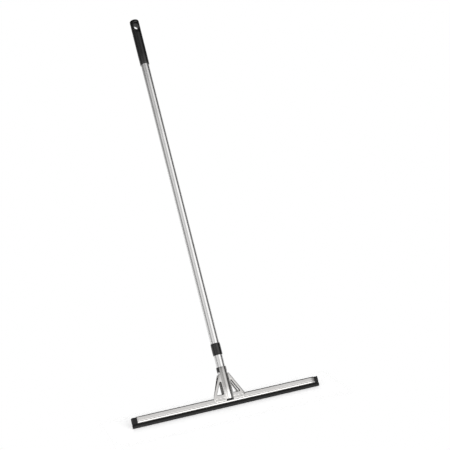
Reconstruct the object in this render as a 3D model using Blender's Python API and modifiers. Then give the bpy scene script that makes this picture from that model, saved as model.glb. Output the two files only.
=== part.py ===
"""Floor squeegee: a long aluminium handle on a pressed steel head with a double rubber blade.

Metres, +Z up along the handle, X along the head. The origin is under the middle of the blade,
at its lower edge. The front of the head faces -Y.
"""

import math

import bmesh
import bpy
from mathutils import Matrix, Vector

MM = 0.001

# Driving dimensions
OVERALL_HEIGHT = 1188.0 * MM
HEAD_LENGTH = 550.0 * MM
TUBE_DIAMETER = 24.0 * MM
TUBE_WALL = 1.2 * MM

# Blade and channel
BLADE_OVERHANG = 12.4 * MM
BLADE_DROP = 10.8 * MM
BLADE_SLOT = 2.4 * MM
CHANNEL_HEIGHT = 17.4 * MM
CHANNEL_WIDTH = 15.0 * MM
CHANNEL_SHEET = 1.0 * MM
CHANNEL_LIP = 1.7 * MM
CHANNEL_BEND = 1.6 * MM
BLADE_EDGE = 0.7 * MM
SPINE_THICKNESS = 1.6 * MM
SPINE_FOOT = 3.0 * MM

# Bracket
BRACKET_SHEET = 1.0 * MM
SOCKET_SPACE = 0.8 * MM
GUTTER_TOP = 107.6 * MM
SKIRT_LAP = 11.7 * MM
SKIRT_CORNER = 5.5 * MM
SKIRT_ROUND = 3.0 * MM
WING_TOP = 88.5 * MM
WING_SHOULDER = 3.9 * MM
WING_TOP_ROUND = 1.5 * MM
WING_KNEE_RISE = 12.5 * MM
WING_KNEE_ROUND = 4.0 * MM
FRONT_HALF_WIDTH = 46.0 * MM
REAR_HALF_WIDTH = 40.0 * MM
WINDOW_SILL_RISE = 6.8 * MM
WINDOW_RIM = 3.4 * MM
WINDOW_STRIP = 7.6 * MM
WINDOW_FLANGE = 6.0 * MM
WINDOW_ROUND = 1.5 * MM
BUSH_HEIGHT = 13.1 * MM
BUSH_KEY_ANGLE = 40.0
RIVET_RADIUS = 2.0 * MM
RIVET_HEAD_RADIUS = 3.4 * MM
RIVET_HEAD_HEIGHT = 0.8 * MM
RIVET_SEAT_RADIUS = 5.4 * MM
SEAT_STEP = 0.1 * MM
RIVET_HEIGHTS = (58.0 * MM, 82.0 * MM)

# Stub tube, coupling and handle
PLUG_FLANGE = 1.6 * MM
PLUG_DEPTH = 15.0 * MM
PLUG_WALL = 2.6 * MM
PLUG_TAPER = 0.6 * MM
COLLAR_BOTTOM = 140.5 * MM
COLLAR_LENGTH = 32.7 * MM
COLLAR_WALL = 1.1 * MM
COLLAR_EDGE = 0.5 * MM
COLLAR_LAP = 8.0 * MM
HANDLE_LAP = 10.0 * MM
COLLAR_RIB_HEIGHT = 2.2 * MM
COLLAR_RIB_DEPTH = 0.9 * MM
SPIGOT_FLAT_DEPTH = 1.0 * MM
SPIGOT_WALL = 3.0 * MM
SPIGOT_FLANGE = 1.8 * MM
SPIGOT_NOSE = 72.0 * MM
SPIGOT_ROOT = 38.0 * MM
BUSH_FLANGE = 1.8 * MM
BUSH_DEPTH = 40.0 * MM
BUSH_WALL = 1.43 * MM
BUSH_TAPER = 0.5 * MM
CLAMP_SLIT = 3.0 * MM
PIN_RADIUS = 1.5 * MM
GRIP_LENGTH = 151.0 * MM
GRIP_WALL = 1.88 * MM
GRIP_FOOT_WALL = 1.58 * MM
GRIP_FOOT_LENGTH = 30.0 * MM
GRIP_FOOT_EDGE = 0.8 * MM
GRIP_ROUND = 4.0 * MM
GRIP_TOP_WALL = 39.0 * MM
HANG_HOLE_DIAMETER = 14.0 * MM
HANG_HOLE_DROP = 24.0 * MM
HANG_WEB = 12.4 * MM
HANG_RECESS_WIDTH = 19.0 * MM
HANG_RECESS_HEIGHT = 28.0 * MM

# Clearances
GAP = 0.3 * MM
FIT_GAP = 0.2 * MM
PRESS_GAP = 0.12 * MM
SLIDE_GAP = 0.25 * MM

# Radii that follow the tube
TUBE_RADIUS = TUBE_DIAMETER / 2.0
TUBE_BORE_RADIUS = TUBE_RADIUS - TUBE_WALL
GUTTER_RADIUS = TUBE_RADIUS + SOCKET_SPACE + BRACKET_SHEET
COLLAR_RADIUS = TUBE_RADIUS + GAP + COLLAR_WALL
SPIGOT_RADIUS = TUBE_BORE_RADIUS - PRESS_GAP - BUSH_WALL - SLIDE_GAP
SPIGOT_FLAT_HALF = SPIGOT_RADIUS - SPIGOT_FLAT_DEPTH
SPIGOT_BORE_RADIUS = SPIGOT_RADIUS - SPIGOT_WALL
GRIP_BORE_RADIUS = TUBE_RADIUS + PRESS_GAP
GRIP_RADIUS = GRIP_BORE_RADIUS + GRIP_WALL
GRIP_FOOT_RADIUS = GRIP_BORE_RADIUS + GRIP_FOOT_WALL

# Derived heights
CHANNEL_BOTTOM = BLADE_DROP
CHANNEL_TOP = CHANNEL_BOTTOM + CHANNEL_HEIGHT
CHANNEL_LENGTH = HEAD_LENGTH - 2.0 * BLADE_OVERHANG
PLATE_INNER = CHANNEL_WIDTH / 2.0 + GAP
PLATE_OUTER = PLATE_INNER + BRACKET_SHEET
PLATE_MIDDLE = (PLATE_INNER + PLATE_OUTER) / 2.0
GUTTER_EDGE = math.sqrt(GUTTER_RADIUS**2 - PLATE_OUTER**2)
SKIRT_BOTTOM = CHANNEL_TOP - SKIRT_LAP
WING_KNEE = SKIRT_BOTTOM + WING_KNEE_RISE
WINDOW_SILL = CHANNEL_TOP + WINDOW_SILL_RISE
PLUG_BOTTOM = CHANNEL_TOP + GAP
STUB_BOTTOM = PLUG_BOTTOM + PLUG_FLANGE + FIT_GAP
STUB_TOP = COLLAR_BOTTOM + COLLAR_LAP
COLLAR_TOP = COLLAR_BOTTOM + COLLAR_LENGTH
PIN_HEIGHT = COLLAR_BOTTOM + COLLAR_LAP / 2.0
HANDLE_BOTTOM = COLLAR_TOP - HANDLE_LAP
STUD_HEIGHT = COLLAR_TOP - HANDLE_LAP / 2.0
GRIP_BOTTOM = OVERALL_HEIGHT - GRIP_LENGTH
HANDLE_TOP = OVERALL_HEIGHT - GRIP_TOP_WALL - GAP
HANG_HOLE_HEIGHT = OVERALL_HEIGHT - HANG_HOLE_DROP
BUSH_FLANGE_BOTTOM = HANDLE_BOTTOM - FIT_GAP - BUSH_FLANGE
SPIGOT_SHOULDER = STUB_TOP + FIT_GAP + SPIGOT_FLANGE
CLAMP_LOW = SPIGOT_SHOULDER + FIT_GAP
CLAMP_HIGH = BUSH_FLANGE_BOTTOM - FIT_GAP
CLAMP_MIDDLE = (CLAMP_LOW + CLAMP_HIGH) / 2.0

ROUND_STEPS = 40
SMALL_STEPS = 20
SMOOTH_BELOW = math.radians(35.0)


def clear_scene():
    """Empties the scene of every object."""
    for obj in list(bpy.data.objects):
        bpy.data.objects.remove(obj)


def new_collection(name):
    """A collection linked to the scene."""
    collection = bpy.data.collections.new(name)
    bpy.context.scene.collection.children.link(collection)
    return collection


def new_material(name, color, roughness, metallic):
    """A plain Principled BSDF material."""
    material = bpy.data.materials.new(name)
    material.use_nodes = True
    shader = material.node_tree.nodes["Principled BSDF"]
    shader.inputs["Base Color"].default_value = (*color, 1.0)
    shader.inputs["Roughness"].default_value = roughness
    shader.inputs["Metallic"].default_value = metallic
    return material


clear_scene()
SQUEEGEE = new_collection("floor_squeegee")
CUTTERS = new_collection("cutters")
ALUMINIUM = new_material("aluminium", (0.72, 0.73, 0.74), 0.32, 1.0)
GALVANISED = new_material("galvanised_steel", (0.62, 0.61, 0.59), 0.42, 1.0)
ZINC_PLATE = new_material("zinc_plated_steel", (0.66, 0.66, 0.65), 0.35, 1.0)
GRIP_BLACK = new_material("grip_black", (0.025, 0.025, 0.027), 0.5, 0.0)
COLLAR_BLACK = new_material("collar_black", (0.02, 0.02, 0.022), 0.42, 0.0)
NYLON = new_material("nylon", (0.05, 0.05, 0.055), 0.55, 0.0)
RUBBER = new_material("cellular_rubber", (0.018, 0.017, 0.017), 0.8, 0.0)


def shade(obj):
    """Shades round faces smooth and keeps true edges sharp."""
    obj.data.shade_smooth()
    obj.data.set_sharp_from_angle(angle=SMOOTH_BELOW)


def turned(name, profile, steps=ROUND_STEPS):
    """Mesh turned about Z from a closed profile of (radius, height), outer side top to bottom."""
    mesh = bpy.data.meshes.new(name)
    count = len(profile)
    on_axis = profile[0][0] == 0.0
    edges = [(i, i + 1) for i in range(count - 1)]
    if not on_axis:
        edges.append((count - 1, 0))
    mesh.from_pydata([(radius, 0.0, height) for radius, height in profile], edges, [])
    obj = bpy.data.objects.new(name, mesh)
    CUTTERS.objects.link(obj)
    screw = obj.modifiers.new("turn", "SCREW")
    screw.angle = math.tau
    screw.steps = steps
    screw.render_steps = steps
    screw.use_merge_vertices = True
    screw.merge_threshold = 0.00001
    return baked(obj)


def baked(obj):
    """Replaces a curve or modified object by its evaluated mesh, with its place applied."""
    bpy.context.view_layer.update()
    graph = bpy.context.evaluated_depsgraph_get()
    mesh = bpy.data.meshes.new_from_object(obj.evaluated_get(graph))
    mesh.transform(obj.matrix_world)
    name = obj.name
    bpy.data.objects.remove(obj)
    work = bmesh.new()
    work.from_mesh(mesh)
    bmesh.ops.remove_doubles(work, verts=work.verts, dist=0.000001)
    bmesh.ops.recalc_face_normals(work, faces=work.faces)
    work.to_mesh(mesh)
    work.free()
    solid = bpy.data.objects.new(name, mesh)
    CUTTERS.objects.link(solid)
    solid.hide_render = True
    solid.display_type = "WIRE"
    return solid


TO_XZ = Matrix(((1, 0, 0, 0), (0, 0, -1, 0), (0, 1, 0, 0), (0, 0, 0, 1)))
TO_YZ = Matrix(((0, 0, 1, 0), (1, 0, 0, 0), (0, 1, 0, 0), (0, 0, 0, 1)))
TO_XY = Matrix.Identity(4)


def prism(name, outline, low, high, plane):
    """Mesh of a closed flat outline drawn in a plane and extruded from low to high across it."""
    curve = bpy.data.curves.new(name, "CURVE")
    curve.dimensions = "2D"
    curve.fill_mode = "BOTH"
    curve.extrude = (high - low) / 2.0
    spline = curve.splines.new("POLY")
    spline.points.add(len(outline) - 1)
    for point, (u, v) in zip(spline.points, outline):
        point.co = (u, v, 0.0, 1.0)
    spline.use_cyclic_u = True
    obj = bpy.data.objects.new(name, curve)
    CUTTERS.objects.link(obj)
    middle = (low + high) / 2.0
    across = plane.to_3x3() @ Vector((0.0, 0.0, 1.0))
    side = 1.0 if sum(across) > 0.0 else -1.0
    obj.matrix_world = Matrix.Translation(across * side * middle) @ plane
    return baked(obj)


def rounded(corners, radius, steps=4):
    """The outline with each corner turned into an arc of this radius; radius may be a list."""
    points = []
    count = len(corners)
    for index, corner in enumerate(corners):
        here = Vector(corner)
        size = radius[index] if isinstance(radius, (list, tuple)) else radius
        if size <= 0.0:
            points.append((here.x, here.y))
            continue
        before = (Vector(corners[index - 1]) - here).normalized()
        after = (Vector(corners[(index + 1) % count]) - here).normalized()
        half = before.angle(after) / 2.0
        centre = here + (before + after).normalized() * (size / math.sin(half))
        start = here + before * (size / math.tan(half)) - centre
        end = here + after * (size / math.tan(half)) - centre
        for step in range(steps + 1):
            share = step / steps
            turn = start.lerp(end, share).normalized() * size
            points.append((centre.x + turn.x, centre.y + turn.y))
    return points


def arc(radius, start, end, steps):
    """Points on a circle about the origin, from one angle to another in degrees."""
    points = []
    for step in range(steps + 1):
        angle = math.radians(start + (end - start) * step / steps)
        points.append((radius * math.cos(angle), radius * math.sin(angle)))
    return points


def rod(name, radius, start, end, steps=SMALL_STEPS):
    """A round bar between two points."""
    start, end = Vector(start), Vector(end)
    work = bmesh.new()
    bmesh.ops.create_cone(
        work,
        cap_ends=True,
        segments=steps,
        radius1=radius,
        radius2=radius,
        depth=(end - start).length,
    )
    mesh = bpy.data.meshes.new(name)
    work.to_mesh(mesh)
    work.free()
    turn = (end - start).to_track_quat("Z", "Y").to_matrix().to_4x4()
    mesh.transform(Matrix.Translation((start + end) / 2.0) @ turn)
    obj = bpy.data.objects.new(name, mesh)
    CUTTERS.objects.link(obj)
    obj.hide_render = True
    obj.display_type = "WIRE"
    return obj


def combine(target, other, operation):
    """Exact Boolean of two solids, applied; the second solid is used up."""
    modifier = target.modifiers.new(operation.lower(), "BOOLEAN")
    modifier.operation = operation
    modifier.solver = "EXACT"
    modifier.object = other
    bpy.context.view_layer.update()
    graph = bpy.context.evaluated_depsgraph_get()
    mesh = bpy.data.meshes.new_from_object(target.evaluated_get(graph))
    target.modifiers.clear()
    target.data = mesh
    bpy.data.objects.remove(other)
    return target


def place_of(obj):
    """World place of an unturned object, through the empties that carry it."""
    place = Vector((0.0, 0.0, 0.0))
    while obj is not None:
        place += obj.location
        obj = obj.parent
    return place


def finish(solid, name, material, origin=(0.0, 0.0, 0.0), parent=None):
    """Turns a solid into the named part with its origin at a point and an optional parent."""
    solid.name = name
    solid.data.name = name
    solid.data.materials.clear()
    solid.data.materials.append(material)
    solid.hide_render = False
    solid.display_type = "TEXTURED"
    CUTTERS.objects.unlink(solid)
    SQUEEGEE.objects.link(solid)
    place = Vector(origin)
    solid.data.transform(Matrix.Translation(-place))
    solid.parent = parent
    solid.location = place - place_of(parent)
    shade(solid)
    return solid


def joint_empty(name, place, parent=None):
    """An empty on a joint's axis that carries the parts that move with it."""
    empty = bpy.data.objects.new(name, None)
    empty.empty_display_size = 0.02
    SQUEEGEE.objects.link(empty)
    empty.parent = parent
    empty.location = Vector(place) - place_of(parent)
    return empty


def pipe(name, outer, inner, low, high, steps=ROUND_STEPS):
    """An open round tube on the Z axis."""
    return turned(name, [(outer, high), (outer, low), (inner, low), (inner, high)], steps)


# ---------------------------------------------------------------- channel and blade


def make_channel(parent):
    """Folded sheet channel, open downwards, whose lips turn inwards under the rubber."""
    half = CHANNEL_WIDTH / 2.0
    mouth = half - CHANNEL_SHEET - CHANNEL_LIP
    inside = half - CHANNEL_SHEET
    ceiling = CHANNEL_TOP - CHANNEL_SHEET
    floor = CHANNEL_BOTTOM + CHANNEL_SHEET
    corners = [
        (-mouth, CHANNEL_BOTTOM),
        (-mouth, floor),
        (-inside, floor),
        (-inside, ceiling),
        (inside, ceiling),
        (inside, floor),
        (mouth, floor),
        (mouth, CHANNEL_BOTTOM),
        (half, CHANNEL_BOTTOM),
        (half, CHANNEL_TOP),
        (-half, CHANNEL_TOP),
        (-half, CHANNEL_BOTTOM),
    ]
    bends = [0.0, 0.0, 0.0, 0.0, 0.0, 0.0, 0.0, 0.0] + [CHANNEL_BEND] * 4
    outline = rounded(corners, bends)
    section = prism("channel", outline, -CHANNEL_LENGTH / 2.0, CHANNEL_LENGTH / 2.0, TO_YZ)
    return finish(section, "channel", GALVANISED, (0.0, 0.0, CHANNEL_TOP), parent)


def make_blade_strip(name, side, parent):
    """Rubber strip held by the channel: shoulder above the lip, neck beside it, lip below it."""
    inner = SPINE_THICKNESS / 2.0 + FIT_GAP
    shoulder = CHANNEL_WIDTH / 2.0 - CHANNEL_SHEET - SLIDE_GAP
    neck = shoulder - CHANNEL_LIP
    top = CHANNEL_TOP - CHANNEL_SHEET - SLIDE_GAP
    over_lip = CHANNEL_BOTTOM + CHANNEL_SHEET + SLIDE_GAP
    under_lip = CHANNEL_BOTTOM - SLIDE_GAP
    slot = BLADE_SLOT / 2.0
    corners = [
        (inner, top),
        (inner, CHANNEL_BOTTOM),
        (slot, CHANNEL_BOTTOM - slot),
        (slot, 0.0),
        (shoulder, 0.0),
        (shoulder, under_lip),
        (neck, under_lip),
        (neck, over_lip),
        (shoulder, over_lip),
        (shoulder, top),
    ]
    bends = [0.0, 0.0, 0.0, BLADE_EDGE, BLADE_EDGE, BLADE_EDGE, 0.0, 0.0, 0.0, BLADE_EDGE]
    outline = [(side * u, v) for u, v in rounded(corners, bends, 3)]
    strip = prism(name, outline, -HEAD_LENGTH / 2.0, HEAD_LENGTH / 2.0, TO_YZ)
    return finish(strip, name, RUBBER, (0.0, 0.0, CHANNEL_BOTTOM), parent)


def make_spine(parent):
    """Flat plastic strip between the two rubber strips."""
    half = SPINE_THICKNESS / 2.0
    top = CHANNEL_TOP - CHANNEL_SHEET - SLIDE_GAP
    low = CHANNEL_BOTTOM + SPINE_FOOT
    outline = [(-half, low), (half, low), (half, top), (-half, top)]
    strip = prism("blade_spine", outline, -CHANNEL_LENGTH / 2.0, CHANNEL_LENGTH / 2.0, TO_YZ)
    return finish(strip, "blade_spine", NYLON, (0.0, 0.0, CHANNEL_BOTTOM), parent)


# ---------------------------------------------------------------- bracket


def gutter_band(name, side):
    """Half-round trough of sheet whose edges end inside the wing plate on one side."""
    inner = GUTTER_RADIUS - BRACKET_SHEET
    turn = -180.0 if side < 0.0 else 0.0
    outside = math.degrees(math.asin(PLATE_MIDDLE / GUTTER_RADIUS))
    inside = math.degrees(math.asin(PLATE_MIDDLE / inner))
    outline = arc(GUTTER_RADIUS, turn + outside, turn + 180.0 - outside, 18)
    outline += arc(inner, turn + 180.0 - inside, turn + inside, 18)
    return prism(name, outline, SKIRT_BOTTOM + BRACKET_SHEET, GUTTER_TOP, TO_XY)


def gutter_gap(name, side):
    """The strip that is cut from a wing plate behind its trough."""
    inner = math.sqrt((GUTTER_RADIUS - BRACKET_SHEET) ** 2 - PLATE_MIDDLE**2)
    half = inner + BRACKET_SHEET * 0.5
    outline = [(-half, 0.0), (half, 0.0), (half, GUTTER_TOP), (-half, GUTTER_TOP)]
    near, far = sorted((side * (PLATE_INNER - GAP), side * (PLATE_OUTER + GAP)))
    return prism(name, outline, near, far, TO_XZ)


def wing_outline(half_width, top):
    """Outline of both wings and the skirt in one plate, with cut lower corners."""
    right = [
        (half_width - SKIRT_CORNER, SKIRT_BOTTOM),
        (half_width, SKIRT_BOTTOM + SKIRT_CORNER),
        (half_width, WING_KNEE),
        (GUTTER_EDGE + WING_SHOULDER, top),
        (GUTTER_EDGE / 2.0, top),
    ]
    left = [(-u, v) for u, v in reversed(right)]
    bends = [SKIRT_ROUND, SKIRT_ROUND, WING_KNEE_ROUND, WING_TOP_ROUND, 0.0]
    return rounded(right + left, bends + bends[::-1])


def window_corners(half_width, side, grow):
    """Corners of the triangular window of one wing, moved outwards by grow."""
    inner = GUTTER_EDGE + WINDOW_RIM - grow
    rise = (WING_TOP - WING_KNEE) / (half_width - GUTTER_EDGE - WING_SHOULDER)
    slant = math.hypot(1.0, rise)
    edge = (WINDOW_STRIP - grow) * slant / rise
    sill = WINDOW_SILL - grow

    def slope_x(height):
        """Where the slanted edge of the window is at a height."""
        return half_width - (height - WING_KNEE) / rise - edge

    apex = WING_KNEE + (half_width - edge - inner) * rise
    corners = [(inner, sill), (slope_x(sill), sill), (inner, apex)]
    return [(side * u, v) for u, v in corners]


def cut_windows(plate, half_width, low, high):
    """Cuts the window of each wing through everything between two values of Y."""
    for side in (-1.0, 1.0):
        corners = window_corners(half_width, side, 0.0)
        opening = prism("window_opening", rounded(corners, WINDOW_ROUND), low, high, TO_XZ)
        combine(plate, opening, "DIFFERENCE")
    return plate


def rivet_holes(solid, radius):
    """Round holes for the blind rivets through the rear of the bracket or the stub tube."""
    for height in RIVET_HEIGHTS:
        near = (0.0, TUBE_BORE_RADIUS / 2.0, height)
        bar = rod("rivet_hole", radius, near, (0.0, GUTTER_RADIUS + GAP, height))
        combine(solid, bar, "DIFFERENCE")
    return solid


def make_bracket_front(parent):
    """Front pressing with flanged triangular windows."""
    outline = wing_outline(FRONT_HALF_WIDTH, WING_TOP)
    plate = prism("front_plate", outline, -PLATE_OUTER, -PLATE_INNER, TO_XZ)
    combine(plate, gutter_gap("front_gap", -1.0), "DIFFERENCE")
    for side in (-1.0, 1.0):
        flange = prism(
            "window_flange",
            rounded(
                window_corners(FRONT_HALF_WIDTH, side, BRACKET_SHEET),
                WINDOW_ROUND + BRACKET_SHEET,
            ),
            -PLATE_MIDDLE,
            -PLATE_OUTER + WINDOW_FLANGE,
            TO_XZ,
        )
        combine(plate, flange, "UNION")
    combine(plate, gutter_band("front_gutter", -1.0), "UNION")
    flange_end = -PLATE_OUTER + WINDOW_FLANGE
    cut_windows(plate, FRONT_HALF_WIDTH, -PLATE_OUTER - GAP, flange_end + GAP)
    return finish(plate, "bracket_front", GALVANISED, (0.0, 0.0, CHANNEL_TOP), parent)


def make_bracket_rear(parent):
    """Rear pressing with plain windows and two flat seats for the rivet heads."""
    outline = wing_outline(REAR_HALF_WIDTH, WING_TOP)
    plate = prism("rear_plate", outline, PLATE_INNER, PLATE_OUTER, TO_XZ)
    combine(plate, gutter_gap("rear_gap", 1.0), "DIFFERENCE")
    combine(plate, gutter_band("rear_gutter", 1.0), "UNION")
    cut_windows(plate, REAR_HALF_WIDTH, PLATE_INNER - GAP, PLATE_OUTER + GAP)
    seat_top = GUTTER_RADIUS - RIVET_HEAD_HEIGHT
    seat_low = TUBE_RADIUS + FIT_GAP
    recess_floor = seat_top - SEAT_STEP
    for height in RIVET_HEIGHTS:
        floor = (0.0, recess_floor, height)
        outside = (0.0, GUTTER_RADIUS + GAP, height)
        recess = rod("recess", RIVET_SEAT_RADIUS - BRACKET_SHEET * 0.8, floor, outside, 24)
        combine(plate, recess, "DIFFERENCE")
        seat = rod("seat", RIVET_SEAT_RADIUS, (0.0, seat_low, height), (0.0, seat_top, height), 24)
        combine(plate, seat, "UNION")
    rivet_holes(plate, RIVET_RADIUS + FIT_GAP)
    return finish(plate, "bracket_rear", GALVANISED, (0.0, 0.0, CHANNEL_TOP), parent)


def make_socket_bush(parent):
    """Thin plastic bush round the stub tube with a thick key between the two pressings each side."""
    top = GUTTER_TOP
    low = GUTTER_TOP - BUSH_HEIGHT
    inner = TUBE_RADIUS + PRESS_GAP
    thin = GUTTER_RADIUS - BRACKET_SHEET - PRESS_GAP
    bush = pipe("socket_bush", thin, inner, low, top)
    for side in (-1.0, 1.0):
        middle = 0.0 if side > 0.0 else 180.0
        outer = arc(GUTTER_RADIUS, middle - BUSH_KEY_ANGLE / 2, middle + BUSH_KEY_ANGLE / 2, 6)
        back = arc(
            TUBE_RADIUS + (GUTTER_RADIUS - BRACKET_SHEET - TUBE_RADIUS) / 2.0,
            middle + BUSH_KEY_ANGLE / 2,
            middle - BUSH_KEY_ANGLE / 2,
            6,
        )
        combine(bush, prism("bush_key", outer + back, low, top, TO_XY), "UNION")
    return finish(bush, "socket_bush", COLLAR_BLACK, (0.0, 0.0, low), parent)


def make_tube_rivet(name, height, parent):
    """Blind rivet with its flat head on the seat and its formed end inside the tube."""
    seat = GUTTER_RADIUS - RIVET_HEAD_HEIGHT + FIT_GAP
    tail = math.sqrt(TUBE_BORE_RADIUS**2 - (RIVET_RADIUS * 1.5) ** 2) - FIT_GAP
    edge = RIVET_HEAD_HEIGHT * 0.45
    profile = [
        (0.0, seat + RIVET_HEAD_HEIGHT),
        (RIVET_HEAD_RADIUS * 0.6, seat + RIVET_HEAD_HEIGHT),
        (RIVET_HEAD_RADIUS, seat + edge),
        (RIVET_HEAD_RADIUS, seat),
        (RIVET_RADIUS, seat),
        (RIVET_RADIUS, tail),
        (RIVET_RADIUS * 1.5, tail),
        (RIVET_RADIUS * 1.5, tail - RIVET_RADIUS),
        (0.0, tail - RIVET_RADIUS * 1.6),
    ]
    rivet = turned(name, profile, SMALL_STEPS)
    lift = Matrix.Translation((0.0, 0.0, height))
    rivet.data.transform(lift @ Matrix.Rotation(-math.pi / 2.0, 4, "X"))
    return finish(rivet, name, ZINC_PLATE, (0.0, seat, height), parent)


# ---------------------------------------------------------------- stub tube and coupling


def make_foot_plug(parent):
    """Plug whose flange stands between the stub tube and the top of the channel."""
    body = TUBE_BORE_RADIUS - PRESS_GAP
    top = STUB_BOTTOM + PLUG_DEPTH
    profile = [
        (body - PLUG_TAPER, top),
        (body, top - 2.0 * PLUG_TAPER),
        (body, PLUG_BOTTOM + PLUG_FLANGE),
        (TUBE_RADIUS, PLUG_BOTTOM + PLUG_FLANGE),
        (TUBE_RADIUS, PLUG_BOTTOM),
        (body - PLUG_WALL, PLUG_BOTTOM),
        (body - PLUG_WALL, top),
    ]
    plug = turned("foot_plug", profile)
    return finish(plug, "foot_plug", NYLON, (0.0, 0.0, PLUG_BOTTOM), parent)


def pin_hole():
    """Cutter for the cross pin's hole, right through the tube."""
    reach = TUBE_DIAMETER
    radius = PIN_RADIUS + FIT_GAP
    return rod("pin_hole", radius, (-reach, 0.0, PIN_HEIGHT), (reach, 0.0, PIN_HEIGHT))


def make_stub_tube(parent):
    """Short tube that stands in the bracket and carries the coupling spigot."""
    tube = pipe("stub_tube", TUBE_RADIUS, TUBE_BORE_RADIUS, STUB_BOTTOM, STUB_TOP)
    rivet_holes(tube, RIVET_RADIUS + FIT_GAP)
    combine(tube, pin_hole(), "DIFFERENCE")
    return finish(tube, "stub_tube", ALUMINIUM, (0.0, 0.0, STUB_BOTTOM), parent)


def keyed_outline(radius, flat_half):
    """Circle with a flat on the front and on the back, so that it can't turn in its match."""
    limit = math.degrees(math.asin(flat_half / radius))
    return arc(radius, -limit, limit, 14) + arc(radius, 180.0 - limit, 180.0 + limit, 14)


def make_spigot(parent):
    """Moulded plug: round root in the stub tube, flange on its end, keyed nose above."""
    root = TUBE_BORE_RADIUS - PRESS_GAP
    low = STUB_TOP - SPIGOT_ROOT
    tip = SPIGOT_SHOULDER + SPIGOT_NOSE
    profile = [
        (0.0, SPIGOT_SHOULDER),
        (TUBE_RADIUS, SPIGOT_SHOULDER),
        (TUBE_RADIUS, STUB_TOP + FIT_GAP),
        (root, STUB_TOP + FIT_GAP),
        (root, low),
        (0.0, low),
    ]
    spigot = turned("coupling_spigot", profile)
    outline = keyed_outline(SPIGOT_RADIUS, SPIGOT_FLAT_HALF)
    nose = prism("nose", outline, SPIGOT_SHOULDER - SPIGOT_FLANGE / 2.0, tip, TO_XY)
    combine(spigot, nose, "UNION")
    hollow = rod("hollow", SPIGOT_BORE_RADIUS, (0.0, 0.0, low - GAP), (0.0, 0.0, tip + GAP), ROUND_STEPS)
    combine(spigot, hollow, "DIFFERENCE")
    combine(spigot, pin_hole(), "DIFFERENCE")
    return finish(spigot, "coupling_spigot", NYLON, (0.0, 0.0, SPIGOT_SHOULDER), parent)


def make_spigot_pin(parent):
    """Cross pin through the stub tube and the root of the spigot, hidden by the collar."""
    reach = TUBE_RADIUS - FIT_GAP
    pin = rod("spigot_pin", PIN_RADIUS, (-reach, 0.0, PIN_HEIGHT), (reach, 0.0, PIN_HEIGHT))
    return finish(pin, "spigot_pin", ZINC_PLATE, (0.0, 0.0, PIN_HEIGHT), parent)


def make_handle_bush():
    """Flanged bush in the foot of the handle tube, whose keyed bore guides the spigot."""
    body = TUBE_BORE_RADIUS - PRESS_GAP
    top = HANDLE_BOTTOM + BUSH_DEPTH
    profile = [
        (0.0, top),
        (body - BUSH_TAPER, top),
        (body, top - 2.0 * BUSH_TAPER),
        (body, BUSH_FLANGE_BOTTOM + BUSH_FLANGE),
        (TUBE_RADIUS, BUSH_FLANGE_BOTTOM + BUSH_FLANGE),
        (TUBE_RADIUS, BUSH_FLANGE_BOTTOM),
        (0.0, BUSH_FLANGE_BOTTOM),
    ]
    bush = turned("handle_bush", profile)
    outline = keyed_outline(SPIGOT_RADIUS + SLIDE_GAP, SPIGOT_FLAT_HALF + SLIDE_GAP)
    bore = prism("bore", outline, BUSH_FLANGE_BOTTOM - GAP, top + GAP, TO_XY)
    combine(bush, bore, "DIFFERENCE")
    stud_holes(bush)
    return finish(bush, "handle_bush", NYLON, (0.0, 0.0, BUSH_FLANGE_BOTTOM))


def stud_holes(solid):
    """Holes for the two studs through the tube wall and into the bush."""
    near = SPIGOT_RADIUS - GAP
    for side in (-1.0, 1.0):
        start = (side * near, 0.0, STUD_HEIGHT)
        end = (side * TUBE_DIAMETER, 0.0, STUD_HEIGHT)
        combine(solid, rod("stud_hole", PIN_RADIUS + FIT_GAP, start, end), "DIFFERENCE")
    return solid


def make_bush_stud(name, side):
    """Short stud through the tube wall and the wall of the bush, clear of the spigot."""
    near = SPIGOT_RADIUS + SLIDE_GAP * 2.0
    far = TUBE_RADIUS - FIT_GAP
    start = (side * near, 0.0, STUD_HEIGHT)
    end = (side * far, 0.0, STUD_HEIGHT)
    return finish(rod(name, PIN_RADIUS, start, end), name, ZINC_PLATE, end)


def make_clamp_ring():
    """Split ring round the spigot with a groove for the collar's inner rib."""
    outer = TUBE_RADIUS
    groove = outer - COLLAR_RIB_DEPTH - FIT_GAP
    inner = SPIGOT_RADIUS + SLIDE_GAP
    half_groove = COLLAR_RIB_HEIGHT / 2.0 + FIT_GAP
    profile = [
        (outer, CLAMP_HIGH),
        (outer, CLAMP_MIDDLE + half_groove),
        (groove, CLAMP_MIDDLE + half_groove),
        (groove, CLAMP_MIDDLE - half_groove),
        (outer, CLAMP_MIDDLE - half_groove),
        (outer, CLAMP_LOW),
        (inner, CLAMP_LOW),
        (inner, CLAMP_HIGH),
    ]
    ring = turned("clamp_ring", profile)
    half = CLAMP_SLIT / 2.0
    outline = [(-half, 0.0), (half, 0.0), (half, TUBE_DIAMETER), (-half, TUBE_DIAMETER)]
    slit = prism("slit", outline, CLAMP_LOW - GAP, CLAMP_HIGH + GAP, TO_XY)
    combine(ring, slit, "DIFFERENCE")
    return finish(ring, "clamp_ring", NYLON, (0.0, 0.0, CLAMP_LOW))


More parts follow.
